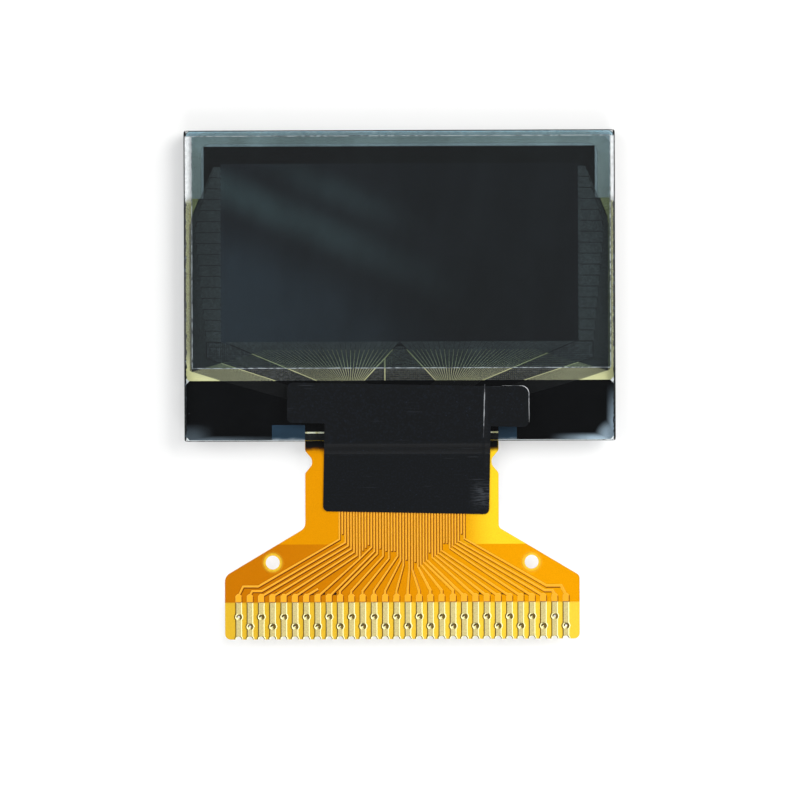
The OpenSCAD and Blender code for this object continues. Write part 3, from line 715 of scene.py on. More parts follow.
@dataclass(frozen=True)
class CollarGlow(Finish):
    """Thin pressed film round the two locating holes, carrying a painted glow of light."""

    name: str
    body: Colour
    middle: float
    apart: float
    level: float
    reach: Point

    def mix(self, recipe: Recipe) -> bpy.types.Material:
        """Fill the recipe: a painted ring of glow that fades outwards.

        Args:
            recipe: Empty recipe.

        Returns:
            The finished material.
        """
        across = recipe.math("ABSOLUTE", recipe.math("SUBTRACT", recipe.along((1.0, 0.0)), self.middle))
        off_x = recipe.math("SUBTRACT", across, self.apart)
        off_y = recipe.math("SUBTRACT", recipe.along((0.0, 1.0)), self.level)
        square = recipe.math("MULTIPLY_ADD", off_x, off_x, recipe.math("MULTIPLY", off_y, off_y))
        near = recipe.between(recipe.math("SQRT", square), self.reach[1], self.reach[0])
        share = recipe.math("MULTIPLY", near, recipe.math("MULTIPLY_ADD", recipe.grain(5.0, 2.0), 0.5, 0.5))
        through = recipe.shader("BsdfTransparent", Color=(1.0, 1.0, 1.0))
        return recipe.done(recipe.blend(share, through, recipe.shader("BsdfDiffuse", Color=self.body)))


@dataclass(frozen=True)
class Pale(Finish):
    """A pale broken line: a cut edge, a glue seam or a chipped rim; it also carries painted highlights on
    rims, creases and a film end, and painted shadows.
    """

    name: str
    light: Colour
    dark: Colour
    per_mm: float = 5.0
    start: float = 0.4
    end: float = 0.6
    rough: float = 0.45
    specular: float = 0.2

    def mix(self, recipe: Recipe) -> bpy.types.Material:
        """Fill the recipe: light and dark bits side by side.

        Args:
            recipe: Empty recipe.

        Returns:
            The finished material.
        """
        bits = recipe.between(recipe.grain(self.per_mm, 3.0), self.start, self.end)
        return recipe.done(recipe.shader(
            "BsdfPrincipled", Base_Color=recipe.tone(bits, self.dark, self.light),
            Specular_IOR_Level=self.specular,
            Roughness=recipe.math("MULTIPLY_ADD", bits, -0.15, self.rough),
            Normal=recipe.bump(bits, 0.004, 0.6),
        ))


@dataclass(frozen=True)
class MeshMetal(Finish):
    """Dark film metal pierced by a fine woven mesh of holes."""

    name: str
    colour: Colour
    glint: Colour
    pitch: float = 0.17
    open_share: float = 0.3

    def mix(self, recipe: Recipe) -> bpy.types.Material:
        """Fill the recipe: rows of small holes at a slant, with unequal glints.

        Args:
            recipe: Empty recipe.

        Returns:
            The finished material.
        """
        turn = 1 / math.sqrt(2)
        waves = [
            recipe.math("SINE", recipe.math("MULTIPLY", recipe.along(way), math.tau / self.pitch))
            for way in ((turn, turn), (turn, -turn))
        ]
        holes = recipe.between(recipe.math("MULTIPLY", *waves), 1 - 2 * self.open_share, 1.0)
        mottle = recipe.between(recipe.grain(7.0, 3.0), 0.4, 0.7)
        metal = recipe.shader(
            "BsdfPrincipled", Base_Color=recipe.tone(mottle, self.colour, self.glint),
            Roughness=recipe.math("MULTIPLY_ADD", mottle, 0.2, 0.35), Metallic=0.3,
        )
        clear = recipe.shader("BsdfTransparent", Color=(1.0, 1.0, 1.0))
        return recipe.done(recipe.blend(recipe.math("MULTIPLY", holes, 0.75), metal, clear))


@dataclass(frozen=True)
class FieldFilm(Finish):
    """Light-giving film with painted reflections: soft slanting bands and a lighter lower left."""

    name: str = "field_film"
    dark: Colour = (0.007, 0.007, 0.009)
    # Painted reflections: the second colour makes the slanting streaks, the third the lighter lower left.
    painted_reflection: Colour = (0.052, 0.065, 0.068)
    corner: Colour = (0.030, 0.036, 0.046)
    lean: float = 24.0

    def mix(self, recipe: Recipe) -> bpy.types.Material:
        """Fill the recipe: two painted reflection bands at a slant and a painted lighter lower left.

        Args:
            recipe: Empty recipe.

        Returns:
            The finished material.
        """
        lean = math.radians(self.lean)
        across = recipe.along((math.sin(lean), math.cos(lean)))
        along = recipe.along((math.cos(lean), -math.sin(lean)))
        # Painted reflection: the slanting bands, the lighter end and the lighter lower left stand for the
        # room mirrored in the glass.
        main = recipe.between(recipe.math("ABSOLUTE", recipe.math("ADD", across, 0.6)), 1.7, 0.0)
        main = recipe.math("MULTIPLY", main, recipe.between(along, 6.5, -12.0))
        side = recipe.between(recipe.math("ABSOLUTE", recipe.math("ADD", across, -2.0)), 1.5, 0.0)
        side = recipe.math(
            "MULTIPLY",
            side,
            recipe.between(recipe.math("ABSOLUTE", recipe.math("ADD", along, 5.5)), 7.0, 0.0),
        )
        lower = recipe.between(recipe.along((0.95, 0.31)), 4.5, -12.0)
        lower = recipe.math("MULTIPLY", lower, recipe.between(across, -1.6, -5.0))
        cloud = recipe.math("MULTIPLY_ADD", recipe.grain(0.25, 2.0), 0.3, 0.85)
        colour = recipe.tone(
            recipe.between(along, 8.0, -12.0), self.dark, tuple(2.0 * part for part in self.dark),
        )
        colour = recipe.tone(lower, colour, self.corner)
        colour = recipe.tone(recipe.math("MULTIPLY", side, 0.5), colour, self.painted_reflection)
        colour = recipe.tone(recipe.math("MULTIPLY", main, cloud), colour, self.painted_reflection)
        return recipe.done(recipe.shader(
            "BsdfPrincipled", Base_Color=colour, Specular_IOR_Level=0.1,
            Roughness=recipe.math("MULTIPLY_ADD", recipe.grain(6.0, 2.0), 0.2, 0.4),
        ))


@dataclass(frozen=True)
class LeadMetal(Finish):
    """Dark film leads, blacker where resin backs them below the cap."""

    name: str = "lead_metal"
    grey: Colour = shade(52, 53, 53)
    black: Colour = shade(9, 10, 12)
    cap_edge: float = -7.78

    def mix(self, recipe: Recipe) -> bpy.types.Material:
        """Fill the recipe: fine grained grey that turns black past the cap's edge.

        Args:
            recipe: Empty recipe.

        Returns:
            The finished material.
        """
        up = recipe.along((0.0, 1.0))
        mottle = recipe.between(recipe.grain(9.0, 3.0), 0.35, 0.7)
        grey = recipe.tone(mottle, self.grey, tuple(part * 1.7 for part in self.grey))
        colour = recipe.tone(recipe.between(up, self.cap_edge, self.cap_edge + 0.02), self.black, grey)
        return recipe.done(recipe.shader(
            "BsdfPrincipled", Base_Color=colour, Specular_IOR_Level=0.2,
            Roughness=recipe.math("MULTIPLY_ADD", mottle, 0.2, 0.4),
        ))


@dataclass(frozen=True)
class BorderFilm(Finish):
    """Insulating film: dark behind the leads, golden near the cap's edge, olive outside."""

    name: str = "border_film"
    dark: Colour = shade(34, 35, 36)
    gold: Colour = shade(150, 128, 60)
    cream: Colour = shade(250, 246, 190)
    olive: Colour = shade(190, 184, 120)
    bundle: float = 12.93
    shoulder: Point = (12.1, 4.5)
    band_top: float = -6.98

    def mix(self, recipe: Recipe) -> bpy.types.Material:
        """Fill the recipe: the film's zones, each with its own grain.

        Args:
            recipe: Empty recipe.

        Returns:
            The finished material.
        """
        across = recipe.math("ABSOLUTE", recipe.along((1.0, 0.0)))
        up = recipe.along((0.0, 1.0))
        lean = math.hypot(0.93, 0.37)
        slant = recipe.math("MULTIPLY_ADD", across, 0.93 / lean, recipe.math("MULTIPLY", up, 0.37 / lean))
        limit = (self.shoulder[0] * 0.93 + self.shoulder[1] * 0.37) / lean
        inside = recipe.math(
            "MULTIPLY",
            recipe.between(across, self.bundle, self.bundle - 0.02),
            recipe.between(slant, limit, limit - 0.04),
        )
        foot = recipe.math("MULTIPLY_ADD", across, 0.3, up)
        inside = recipe.math("MULTIPLY", inside, recipe.between(foot, -3.36, -3.3))
        low = recipe.between(up, self.band_top, self.band_top - 0.5)
        sides = recipe.between(recipe.math("ABSOLUTE", recipe.math("ADD", across, -6.65)), 1.7, 0.9)
        middle = recipe.between(
            recipe.math("ABSOLUTE", recipe.math("ADD", recipe.along((1.0, 0.0)), -0.15)), 2.5, 1.2,
        )
        warm = recipe.math("MULTIPLY", low, recipe.math("MAXIMUM", sides, middle))
        fine = recipe.between(recipe.grain(12.0, 3.0), 0.35, 0.7)
        inner = recipe.tone(
            recipe.math("MULTIPLY", warm, recipe.math("MULTIPLY_ADD", fine, 0.6, 0.5)), self.dark, self.gold,
        )
        outer = recipe.tone(recipe.between(up, -5.0, -7.2), self.olive, self.cream)
        body = recipe.shader("BsdfDiffuse", Color=recipe.tone(inside, outer, inner))
        through = recipe.shader("BsdfTransparent", Color=(0.88, 0.86, 0.62))
        share = recipe.math(
            "MULTIPLY_ADD",
            inside,
            0.65,
            recipe.math("MULTIPLY_ADD", recipe.between(up, -5.0, -7.2), 0.35, 0.3),
        )
        return recipe.done(recipe.blend(share, through, body))


@dataclass(frozen=True)
class RimLight(Finish):
    """Bare margin of the glass, lit from its cut edge: blue along the top, white at the sides."""

    name: str = "rim_light"
    blue: Colour = (0.36, 0.60, 0.72)
    white: Colour = shade(250, 253, 255)
    top: float = 7.40
    film_top: float = 3.35

    def mix(self, recipe: Recipe) -> bpy.types.Material:
        """Fill the recipe: a tinted top margin and bright side margins that end at the film.

        Args:
            recipe: Empty recipe.

        Returns:
            The finished material.
        """
        up = recipe.along((0.0, 1.0))
        above = recipe.between(up, self.top - 0.1, self.top + 0.05)
        side = recipe.between(up, self.film_top - 0.3, self.film_top + 0.5)
        wear = recipe.between(recipe.grain(4.0, 3.0), 0.3, 0.7)
        tint = recipe.tone(above, (1.0, 1.0, 1.0), recipe.tone(wear, self.blue, (0.5, 0.7, 0.8)))
        share = recipe.math(
            "MULTIPLY", recipe.math("SUBTRACT", side, above), recipe.math("MULTIPLY_ADD", wear, 0.15, 0.7),
        )
        share = recipe.math("MAXIMUM", share, 0.06)
        through = recipe.shader("BsdfTransparent", Color=tint)
        return recipe.done(recipe.blend(share, through, recipe.shader("BsdfDiffuse", Color=self.white)))


@dataclass(frozen=True)
class Veil(Finish):
    """A thin see-through skin that tints what lies under it."""

    name: str
    tint: Colour
    body: Colour
    share: float = 0.15
    gloss: float = 0.6

    def mix(self, recipe: Recipe) -> bpy.types.Material:
        """Fill the recipe: tinted skin with uneven depth.

        Args:
            recipe: Empty recipe.

        Returns:
            The finished material.
        """
        cloud = recipe.between(recipe.grain(3.0, 3.0), 0.3, 0.7)
        tint = recipe.tone(cloud, self.tint, tuple(part ** 1.25 for part in self.tint))
        through = recipe.shader("BsdfTransparent", Color=tint)
        solid = recipe.shader("BsdfDiffuse", Color=self.body)
        shine = recipe.shader(
            "BsdfGlossy", Color=(1.0, 1.0, 1.0), Roughness=0.3,
            Normal=recipe.bump(cloud, 0.002, 0.5),
        )
        share = recipe.math("MULTIPLY", recipe.shader("Fresnel", IOR=1.5), self.gloss)
        return recipe.done(recipe.blend(share, recipe.blend(self.share, through, solid), shine))


def dress(node: str, finish: Finish) -> None:
    """Give a carried-over solid its finish.

    Args:
        node: Name of the node.
        finish: Finish to put on it.
    """
    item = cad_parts[node]
    for holder in item.material_slots:
        holder.material = finish.material()
    LOG.info("dressed %s in %s", node, finish.name)


def hand_over(
    name: str, form: bmesh.types.BMesh, finish: Finish, smooth: bool = False,
) -> bpy.types.Object:
    """Turn a form in millimetres into a piece of the scene.

    Args:
        name: Name of the piece.
        form: Its form, freed afterwards.
        finish: Its finish.
        smooth: Whether its faces are shaded as one surface.

    Returns:
        The new object.
    """
    for corner in form.verts:
        corner.co *= MM
    mesh = bpy.data.meshes.new(name)
    form.normal_update()
    form.to_mesh(mesh)
    form.free()
    for face in mesh.polygons:
        face.use_smooth = smooth
    mesh.materials.append(finish.material())
    piece = bpy.data.objects.new(name, mesh)
    bpy.context.scene.collection.objects.link(piece)
    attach(piece, "root")
    LOG.info("built %s with %d faces", name, len(mesh.polygons))
    return piece


def eased(name: str, node: str, finish: Finish, level: float, by: float) -> None:
    """Copy a layer with one face a hair clear of its neighbour, so that light tells the two apart.

    Args:
        name: Name of the copy.
        node: Node that it stands in for.
        finish: Its finish.
        level: Height of the face in millimetres.
        by: How far the face moves, in millimetres.
    """
    form = bmesh.new()
    form.from_mesh(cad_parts[node].data)
    for corner in form.verts:
        corner.co /= MM
        if abs(corner.co.z - level) < abs(by):
            corner.co.z += by
    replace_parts(hand_over(name, form, finish), node)


def upper_faces(node: str, level: float) -> bmesh.types.BMesh:
    """Copy the faces of a node that look up at a level.

    Args:
        node: Name of the node.
        level: Height of the faces in millimetres.

    Returns:
        The faces as a form in millimetres.
    """
    form = bmesh.new()
    form.from_mesh(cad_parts[node].data)
    for corner in form.verts:
        corner.co /= MM
    bmesh.ops.remove_doubles(form, verts=form.verts, dist=1e-4)
    form.normal_update()
    off = [
        face for face in form.faces
        if face.normal.z < 0.9 or abs(face.calc_center_median().z - level) > 0.004
    ]
    bmesh.ops.delete(form, geom=off, context="FACES")
    return form


def strip(form: bmesh.types.BMesh, inner: list[Vector], outer: list[Vector], closed: bool = True) -> None:
    """Lay a strip of quads between two lines of points.

    Args:
        form: Form to add to.
        inner: Points of one side.
        outer: Points of the other side.
        closed: Whether the strip closes on itself.
    """
    first = [form.verts.new(point) for point in inner]
    second = [form.verts.new(point) for point in outer]
    count = len(first)
    for index in range(count if closed else count - 1):
        after = (index + 1) % count
        form.faces.new((first[index], second[index], second[after], first[after]))


def rounded_box(low: Point, high: Point, radius: float, step: float) -> list[tuple[Vector, Vector]]:
    """Walk round a rounded rectangle.

    Args:
        low: Lower left corner.
        high: Upper right corner.
        radius: Corner radius.
        step: Distance between the points on the straights.

    Returns:
        Points in the plane with their outward directions.
    """
    walk: list[tuple[Vector, Vector]] = []
    middle_x = (low[0] + radius, high[0] - radius)
    middle_y = (low[1] + radius, high[1] - radius)
    corners = [(1, 0, 0), (1, 1, 90), (0, 1, 180), (0, 0, 270)]
    for index, (side_x, side_y, start) in enumerate(corners):
        start -= 90
        centre = Vector((middle_x[side_x], middle_y[side_y]))
        for part in range(5):
            angle = math.radians(start + 90 * part / 4)
            out = Vector((math.cos(angle), math.sin(angle)))
            walk.append((centre + out * radius, out))
        after = corners[(index + 1) % 4]
        ahead = Vector((middle_x[after[0]], middle_y[after[1]]))
        angle = math.radians(start + 90)
        out = Vector((math.cos(angle), math.sin(angle)))
        length = (ahead - centre).length
        count = max(1, int(length / step))
        for part in range(1, count):
            walk.append((centre.lerp(ahead, part / count) + out * radius, out))
    return walk


@dataclass
class Studio:
    """Camera, floor and lamps."""

    middle_y: float = -8.97
    far: float = 276.4
    lens: float = 200.0
    roll: float = -0.2
    floor_drop: float = 0.1
    floor_size: float = 3000.0
    floor_glow: float = 0.3
    world: float = 0.46
    zenith: float = 0.12

    def build(self) -> None:
        """Set up the whole studio."""
        self.camera()
        self.floor()
        self.sky()
        self.lamp("key_lamp", (240, 130, 210), 240, 1.0, (1.0, 0.99, 0.97))
        self.lamp("fill_lamp", (-260, 60, 260), 300, 0.62, (0.97, 0.99, 1.0))
        self.lamp("low_lamp", (60, -300, 190), 260, 0.62, (1.0, 1.0, 1.0))
        bpy.context.scene.view_settings.view_transform = "Standard"
        bpy.context.scene.cycles.transparent_max_bounces = 48

    def camera(self) -> None:
        """Hang the camera straight above the panel."""
        data = bpy.data.cameras.new("camera")
        data.lens = self.lens
        data.sensor_width = 36
        data.clip_start = 0.01
        data.clip_end = 20
        item = bpy.data.objects.new("camera", data)
        item.location = (0, self.middle_y * MM, self.far * MM)
        item.rotation_euler = (0, 0, math.radians(self.roll))
        bpy.context.scene.collection.objects.link(item)
        bpy.context.scene.camera = item

    def floor(self) -> None:
        """Lay a white floor that shows white to the eye and keeps a faint shadow."""
        form = bmesh.new()
        half = self.floor_size / 2
        ring = [
            form.verts.new((x * half, y * half, -self.floor_drop))
            for x, y in ((-1, -1), (1, -1), (1, 1), (-1, 1))
        ]
        form.faces.new(ring)
        bmesh.ops.subdivide_edges(form, edges=form.edges[:], cuts=3, use_grid_fill=True)
        for corner in form.verts:
            corner.co *= MM
        mesh = bpy.data.meshes.new("floor")
        form.to_mesh(mesh)
        form.free()
        recipe = Recipe("floor_paper")
        paths = recipe.node("ShaderNodeLightPath")
        seen = recipe.math("MAXIMUM", paths.outputs["Is Camera Ray"], paths.outputs["Is Glossy Ray"])
        seen = recipe.math("MAXIMUM", seen, paths.outputs["Is Transmission Ray"])
        paper = recipe.tone(recipe.grain(0.02, 2.0), (0.93, 0.93, 0.93), (0.91, 0.91, 0.91))
        dull = recipe.shader("BsdfDiffuse", Color=paper)
        glow = recipe.shader("Emission", Color=(1.0, 1.0, 1.0), Strength=1.0)
        share = recipe.math("MULTIPLY", seen, self.floor_glow)
        mesh.materials.append(recipe.done(recipe.blend(share, dull, glow)))
        item = bpy.data.objects.new("floor", mesh)
        bpy.context.scene.collection.objects.link(item)

    def sky(self) -> None:
        """Fill the room with even light, darker on the left and straight above."""
        world = bpy.data.worlds.new("room")
        bpy.context.scene.world = world
        world.use_nodes = True
        tree = world.node_tree
        tree.nodes.clear()
        coords = tree.nodes.new("ShaderNodeTexCoord")
        parts = tree.nodes.new("ShaderNodeSeparateXYZ")
        tree.links.new(coords.outputs["Generated"], parts.inputs[0])
        ramp = tree.nodes.new("ShaderNodeMapRange")
        tree.links.new(parts.outputs["X"], ramp.inputs["Value"])
        ramp.inputs["From Min"].default_value = -1.0
        ramp.inputs["From Max"].default_value = 1.0
        ramp.inputs["To Min"].default_value = self.world * 0.55
        ramp.inputs["To Max"].default_value = self.world * 1.45
        dark = tree.nodes.new("ShaderNodeMapRange")
        dark.interpolation_type = "SMOOTHSTEP"
        tree.links.new(parts.outputs["Z"], dark.inputs["Value"])
        dark.inputs["From Min"].default_value = math.cos(math.radians(24))
        dark.inputs["From Max"].default_value = math.cos(math.radians(9))
        dark.inputs["To Min"].default_value = 1.0
        dark.inputs["To Max"].default_value = self.zenith
        both = tree.nodes.new("ShaderNodeMath")
        both.operation = "MULTIPLY"
        tree.links.new(ramp.outputs[0], both.inputs[0])
        tree.links.new(dark.outputs[0], both.inputs[1])
        glow = tree.nodes.new("ShaderNodeBackground")
        tree.links.new(both.outputs[0], glow.inputs["Strength"])
        out = tree.nodes.new("ShaderNodeOutputWorld")
        tree.links.new(glow.outputs[0], out.inputs["Surface"])

    def lamp(
        self, name: str, place: tuple[float, float, float], size: float, power: float, colour: Colour,
    ) -> None:
        """Hang a soft square lamp that looks at the panel.

        Args:
            name: Name of the lamp.
            place: Its place in millimetres.
            size: Its side in millimetres.
            power: Its power in watts.
            colour: Its colour.
        """
        data = bpy.data.lights.new(name, "AREA")
        data.shape = "SQUARE"
        data.size = size * MM
        data.energy = power
        data.color = colour
        item = bpy.data.objects.new(name, data)
        item.location = Vector(place) * MM
        aim = Vector((0, self.middle_y, 0)) - Vector(place)
        item.rotation_euler = aim.to_track_quat("-Z", "Y").to_euler()
        bpy.context.scene.collection.objects.link(item)


@dataclass
class GlassPack:
    """Front glass, cap glass, seal, absorber and polarizer, with their cut edges."""

    half_w: float = 13.35
    top: float = 7.75
    bottom: float = -11.51
    front_z: float = 1.23
    front_back: float = 0.73
    ease: float = 0.0015
    nick: float = 0.22
    polarizer_half: Point = (12.975, 7.21)
    polarizer_at: Point = (0.1, 0.2)
    polarizer_z: float = 1.43

    def build(self) -> None:
        """Dress the panes and build their edges."""
        eased(
            "front_pane", "front_glass", Pane("clear_front", (0.95, 0.985, 0.995), shade(70, 84, 88)),
            self.front_back, self.ease,
        )
        dress("cap_glass", Pane("clear_cap", (0.95, 0.98, 0.99), shade(60, 74, 78), gloss=0.5))
        eased("polarizer_sheet", "polarizer", Pane(
            "grey_polarizer", (0.70, 0.785, 0.815), shade(150, 152, 158), rough=0.08, smear=0.06,
            haze=shade(150, 150, 150), haze_share=0.014,
        ), self.front_z, self.ease)
        dress("seal_bead", Veil("seal_resin", (0.93, 0.94, 0.92), shade(190, 192, 180), 0.12, 0.1))
        dress("moisture_absorber", Resin(
            "absorber_cake", shade(8, 9, 10), shade(20, 22, 24), 0.6, dust_share=0.3, specular=0.1,
        ))
        self.bare_margin()
        self.scribed_edge()
        self.polarizer_rim()

    def bare_margin(self) -> None:
        """Build the lit margin of bare glass round the top and the sides of the polarizer."""
        form = bmesh.new()
        low = self.polarizer_at[1] - self.polarizer_half[1]
        rim = 0.07
        walk = rounded_box((-self.half_w + rim, low), (self.half_w - rim, self.top - rim), 0.3, 0.4)
        inner, outer = [], []
        for place, out in walk:
            if out.y < -0.5:
                continue
            reach = Vector((
                max(-self.polarizer_half[0], min(self.polarizer_half[0], place.x - self.polarizer_at[0])),
                max(-self.polarizer_half[1], min(self.polarizer_half[1], place.y - self.polarizer_at[1])),
            )) + Vector(self.polarizer_at)
            outer.append(Vector((*place, self.front_z + self.ease)))
            inner.append(Vector((*reach, self.front_z + 2 * self.ease)))
        strip(form, inner, outer, closed=False)
        hand_over("bare_margin", form, RimLight())

    def scribed_edge(self) -> None:
        """Build the dark chipped line that runs along the broken edge of the front glass."""
        form = bmesh.new()
        walk = rounded_box((-self.half_w, self.bottom), (self.half_w, self.top), self.nick * 0.6, 0.12)
        inner, outer = [], []
        for place, out in walk:
            seed = Vector((place.x * 2.1, place.y * 2.1, 3.0))
            broken = 0.09 * abs(out.x) + 0.035
            depth = broken * (1 + 0.7 * max(0.0, noise.noise(seed)) + 0.5 * noise.noise(seed * 3.7))
            outer.append(Vector((*(place - out * 0.004), self.front_z - 0.03)))
            inner.append(Vector((*(place - out * max(0.03, depth)), self.front_z + 0.003)))
        strip(form, inner, outer)
        hand_over("scribed_edge", form, Pale(
            "chipped_glass", shade(70, 80, 92), shade(6, 8, 10), 3.0, 0.55, 0.72,
        ))

    def polarizer_rim(self) -> None:
        """Build the cut edge of the polarizer, with a painted pale highlight along it."""
        form = bmesh.new()
        half_w, half_h = self.polarizer_half
        at_x, at_y = self.polarizer_at
        walk = rounded_box((at_x - half_w, at_y - half_h), (at_x + half_w, at_y + half_h), 0.06, 0.15)
        inner, outer = [], []
        for place, out in walk:
            depth = 0.05 + 0.02 * noise.noise(Vector((place.x * 3, place.y * 3, 1.0)))
            outer.append(Vector((*place, self.polarizer_z - 0.025)))
            inner.append(Vector((*(place - out * depth), self.polarizer_z)))
        strip(form, inner, outer)
        hand_over("polarizer_rim", form, Pale(
            "painted_rim_highlight", shade(200, 202, 204), shade(112, 114, 118), 4.0, 0.38, 0.56,
        ))


@dataclass
class PictureField:
    """The light-giving field and the conductors on the glass."""

    rows: int = 64
    groove: float = 0.012
    level: float = 0.7255

    def build(self) -> None:
        """Dress the films and leads, and build the rows."""
        dress("column_anodes", Veil("clear_anode", (0.97, 0.98, 0.98), shade(20, 22, 25), 0.02, 0.02))
        dress("organic_layer", FieldFilm())
        dress("row_cathodes", Metal("cathode_film", shade(84, 92, 100), shade(60, 66, 74), 0.6, 0.4, 0.25))
        dress("insulating_film", BorderFilm())
        dress("filling_metal", MeshMetal("filling_mesh", shade(44, 45, 46), shade(78, 79, 80)))
        for node in ("row_leads", "column_leads", "input_leads"):
            dress(node, LeadMetal())
        self.field_rows()

    def field_rows(self) -> None:
        """Build the picture rows, each parted from the next by a fine groove."""
        form = bmesh.new()
        low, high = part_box("organic_layer")
        left, right = low[0] / MM, high[0] / MM
        bottom, top = low[1] / MM, high[1] / MM
        pitch = (top - bottom) / self.rows
        for row in range(self.rows):
            foot, head = bottom + row * pitch, bottom + (row + 1) * pitch
            lines = [
                (foot, self.level - 0.002), (foot + self.groove, self.level),
                (head - self.groove, self.level), (head, self.level - 0.002),
            ]
            for first, second in zip(lines, lines[1:]):
                strip(
                    form,
                    [Vector((left, first[0], first[1])), Vector((right, first[0], first[1]))],
                    [Vector((left, second[0], second[1])), Vector((right, second[0], second[1]))],
                    closed=False,
                )
        bmesh.ops.recalc_face_normals(form, faces=form.faces[:])
        hand_over("field_rows", form, FieldFilm())


@dataclass
class DriverLedge:
    """Chip, conducting films, black coat and glue on the ledge, and a painted shadow on the tail below its
    edge.
    """

    film_end: float = -10.98
    glass_end: float = -11.51
    windows: tuple[Point, Point] = ((-5.88, -4.72), (5.28, 6.08))
    inside_z: float = 0.7303
    cover_z: float = 0.7315

    def build(self) -> None:
        """Dress the parts of the ledge and build the glint and the painted shadow there."""
        dress("driver_chip", Metal("chip_silicon", shade(92, 94, 100), shade(70, 72, 78), 0.9, 0.16, 3.0))
        dress("chip_bond_film", Resin("bond_film", shade(96, 90, 76), shade(70, 66, 58), 0.4))
        dress("tail_bond_film", Resin(
            "tail_bond", shade(22, 23, 24), shade(70, 72, 74), 0.5, dust_share=0.25, specular=0.1,
        ))
        dress("ledge_coat", CornerCoat())
        dress("bond_glue", Fading(
            "blue_glue", shade(36, 58, 76), shade(110, 140, 165), (0.0, 1.0), -11.62, -11.2, 1.0, 2.5,
        ))
        self.film_glint()
        self.glass_edge_shadow()

    def film_glint(self) -> None:
        """Build the bright line where the tail's film ends under the glass."""
        form = bmesh.new()
        for start, end in self.windows:
            count = 14
            lower, upper = [], []
            for part in range(count + 1):
                x = start + (end - start) * part / count
                swell = 0.018 * noise.noise(Vector((x * 5, 2.0, 0.0)))
                lower.append(Vector((x, self.film_end - 0.05 - swell, self.inside_z)))
                upper.append(Vector((x, self.film_end + 0.05 + swell, self.inside_z)))
            strip(form, lower, upper, closed=False)
        hand_over(
            "film_glint",
            form,
            Pale("film_end", shade(255, 252, 226), shade(216, 208, 150), 3.0),
        )

    def glass_edge_shadow(self) -> None:
        """Build the painted shadow that falls from the glass's edge onto the tail, as a thin dark skin that
        fades out.
        """
        form = bmesh.new()
        # Painted shadow: a dark skin that drops away from the glass's edge and fades to brown on the tail.
        for start, end in self.windows:
            count = 12
            rows = []
            for drop, rise in ((0.0, 0.03), (0.16, 0.022), (0.34, 0.01), (0.5, 0.002), (0.72, 0.0)):
                rows.append([
                    Vector(
                        (
                            start + (end - start) * part / count,
                            self.glass_end - 0.005 - drop,
                            self.cover_z + rise,
                        )
                    )
                    for part in range(count + 1)
                ])
            for first, second in zip(rows, rows[1:]):
                strip(form, second, first, closed=False)
        hand_over("glass_edge_shadow", form, Fading(
            "edge_shadow_paint", shade(5, 5, 6), shade(120, 66, 4), (0.0, 1.0), -12.2, -11.85, 1.0, 2.0,
        ))


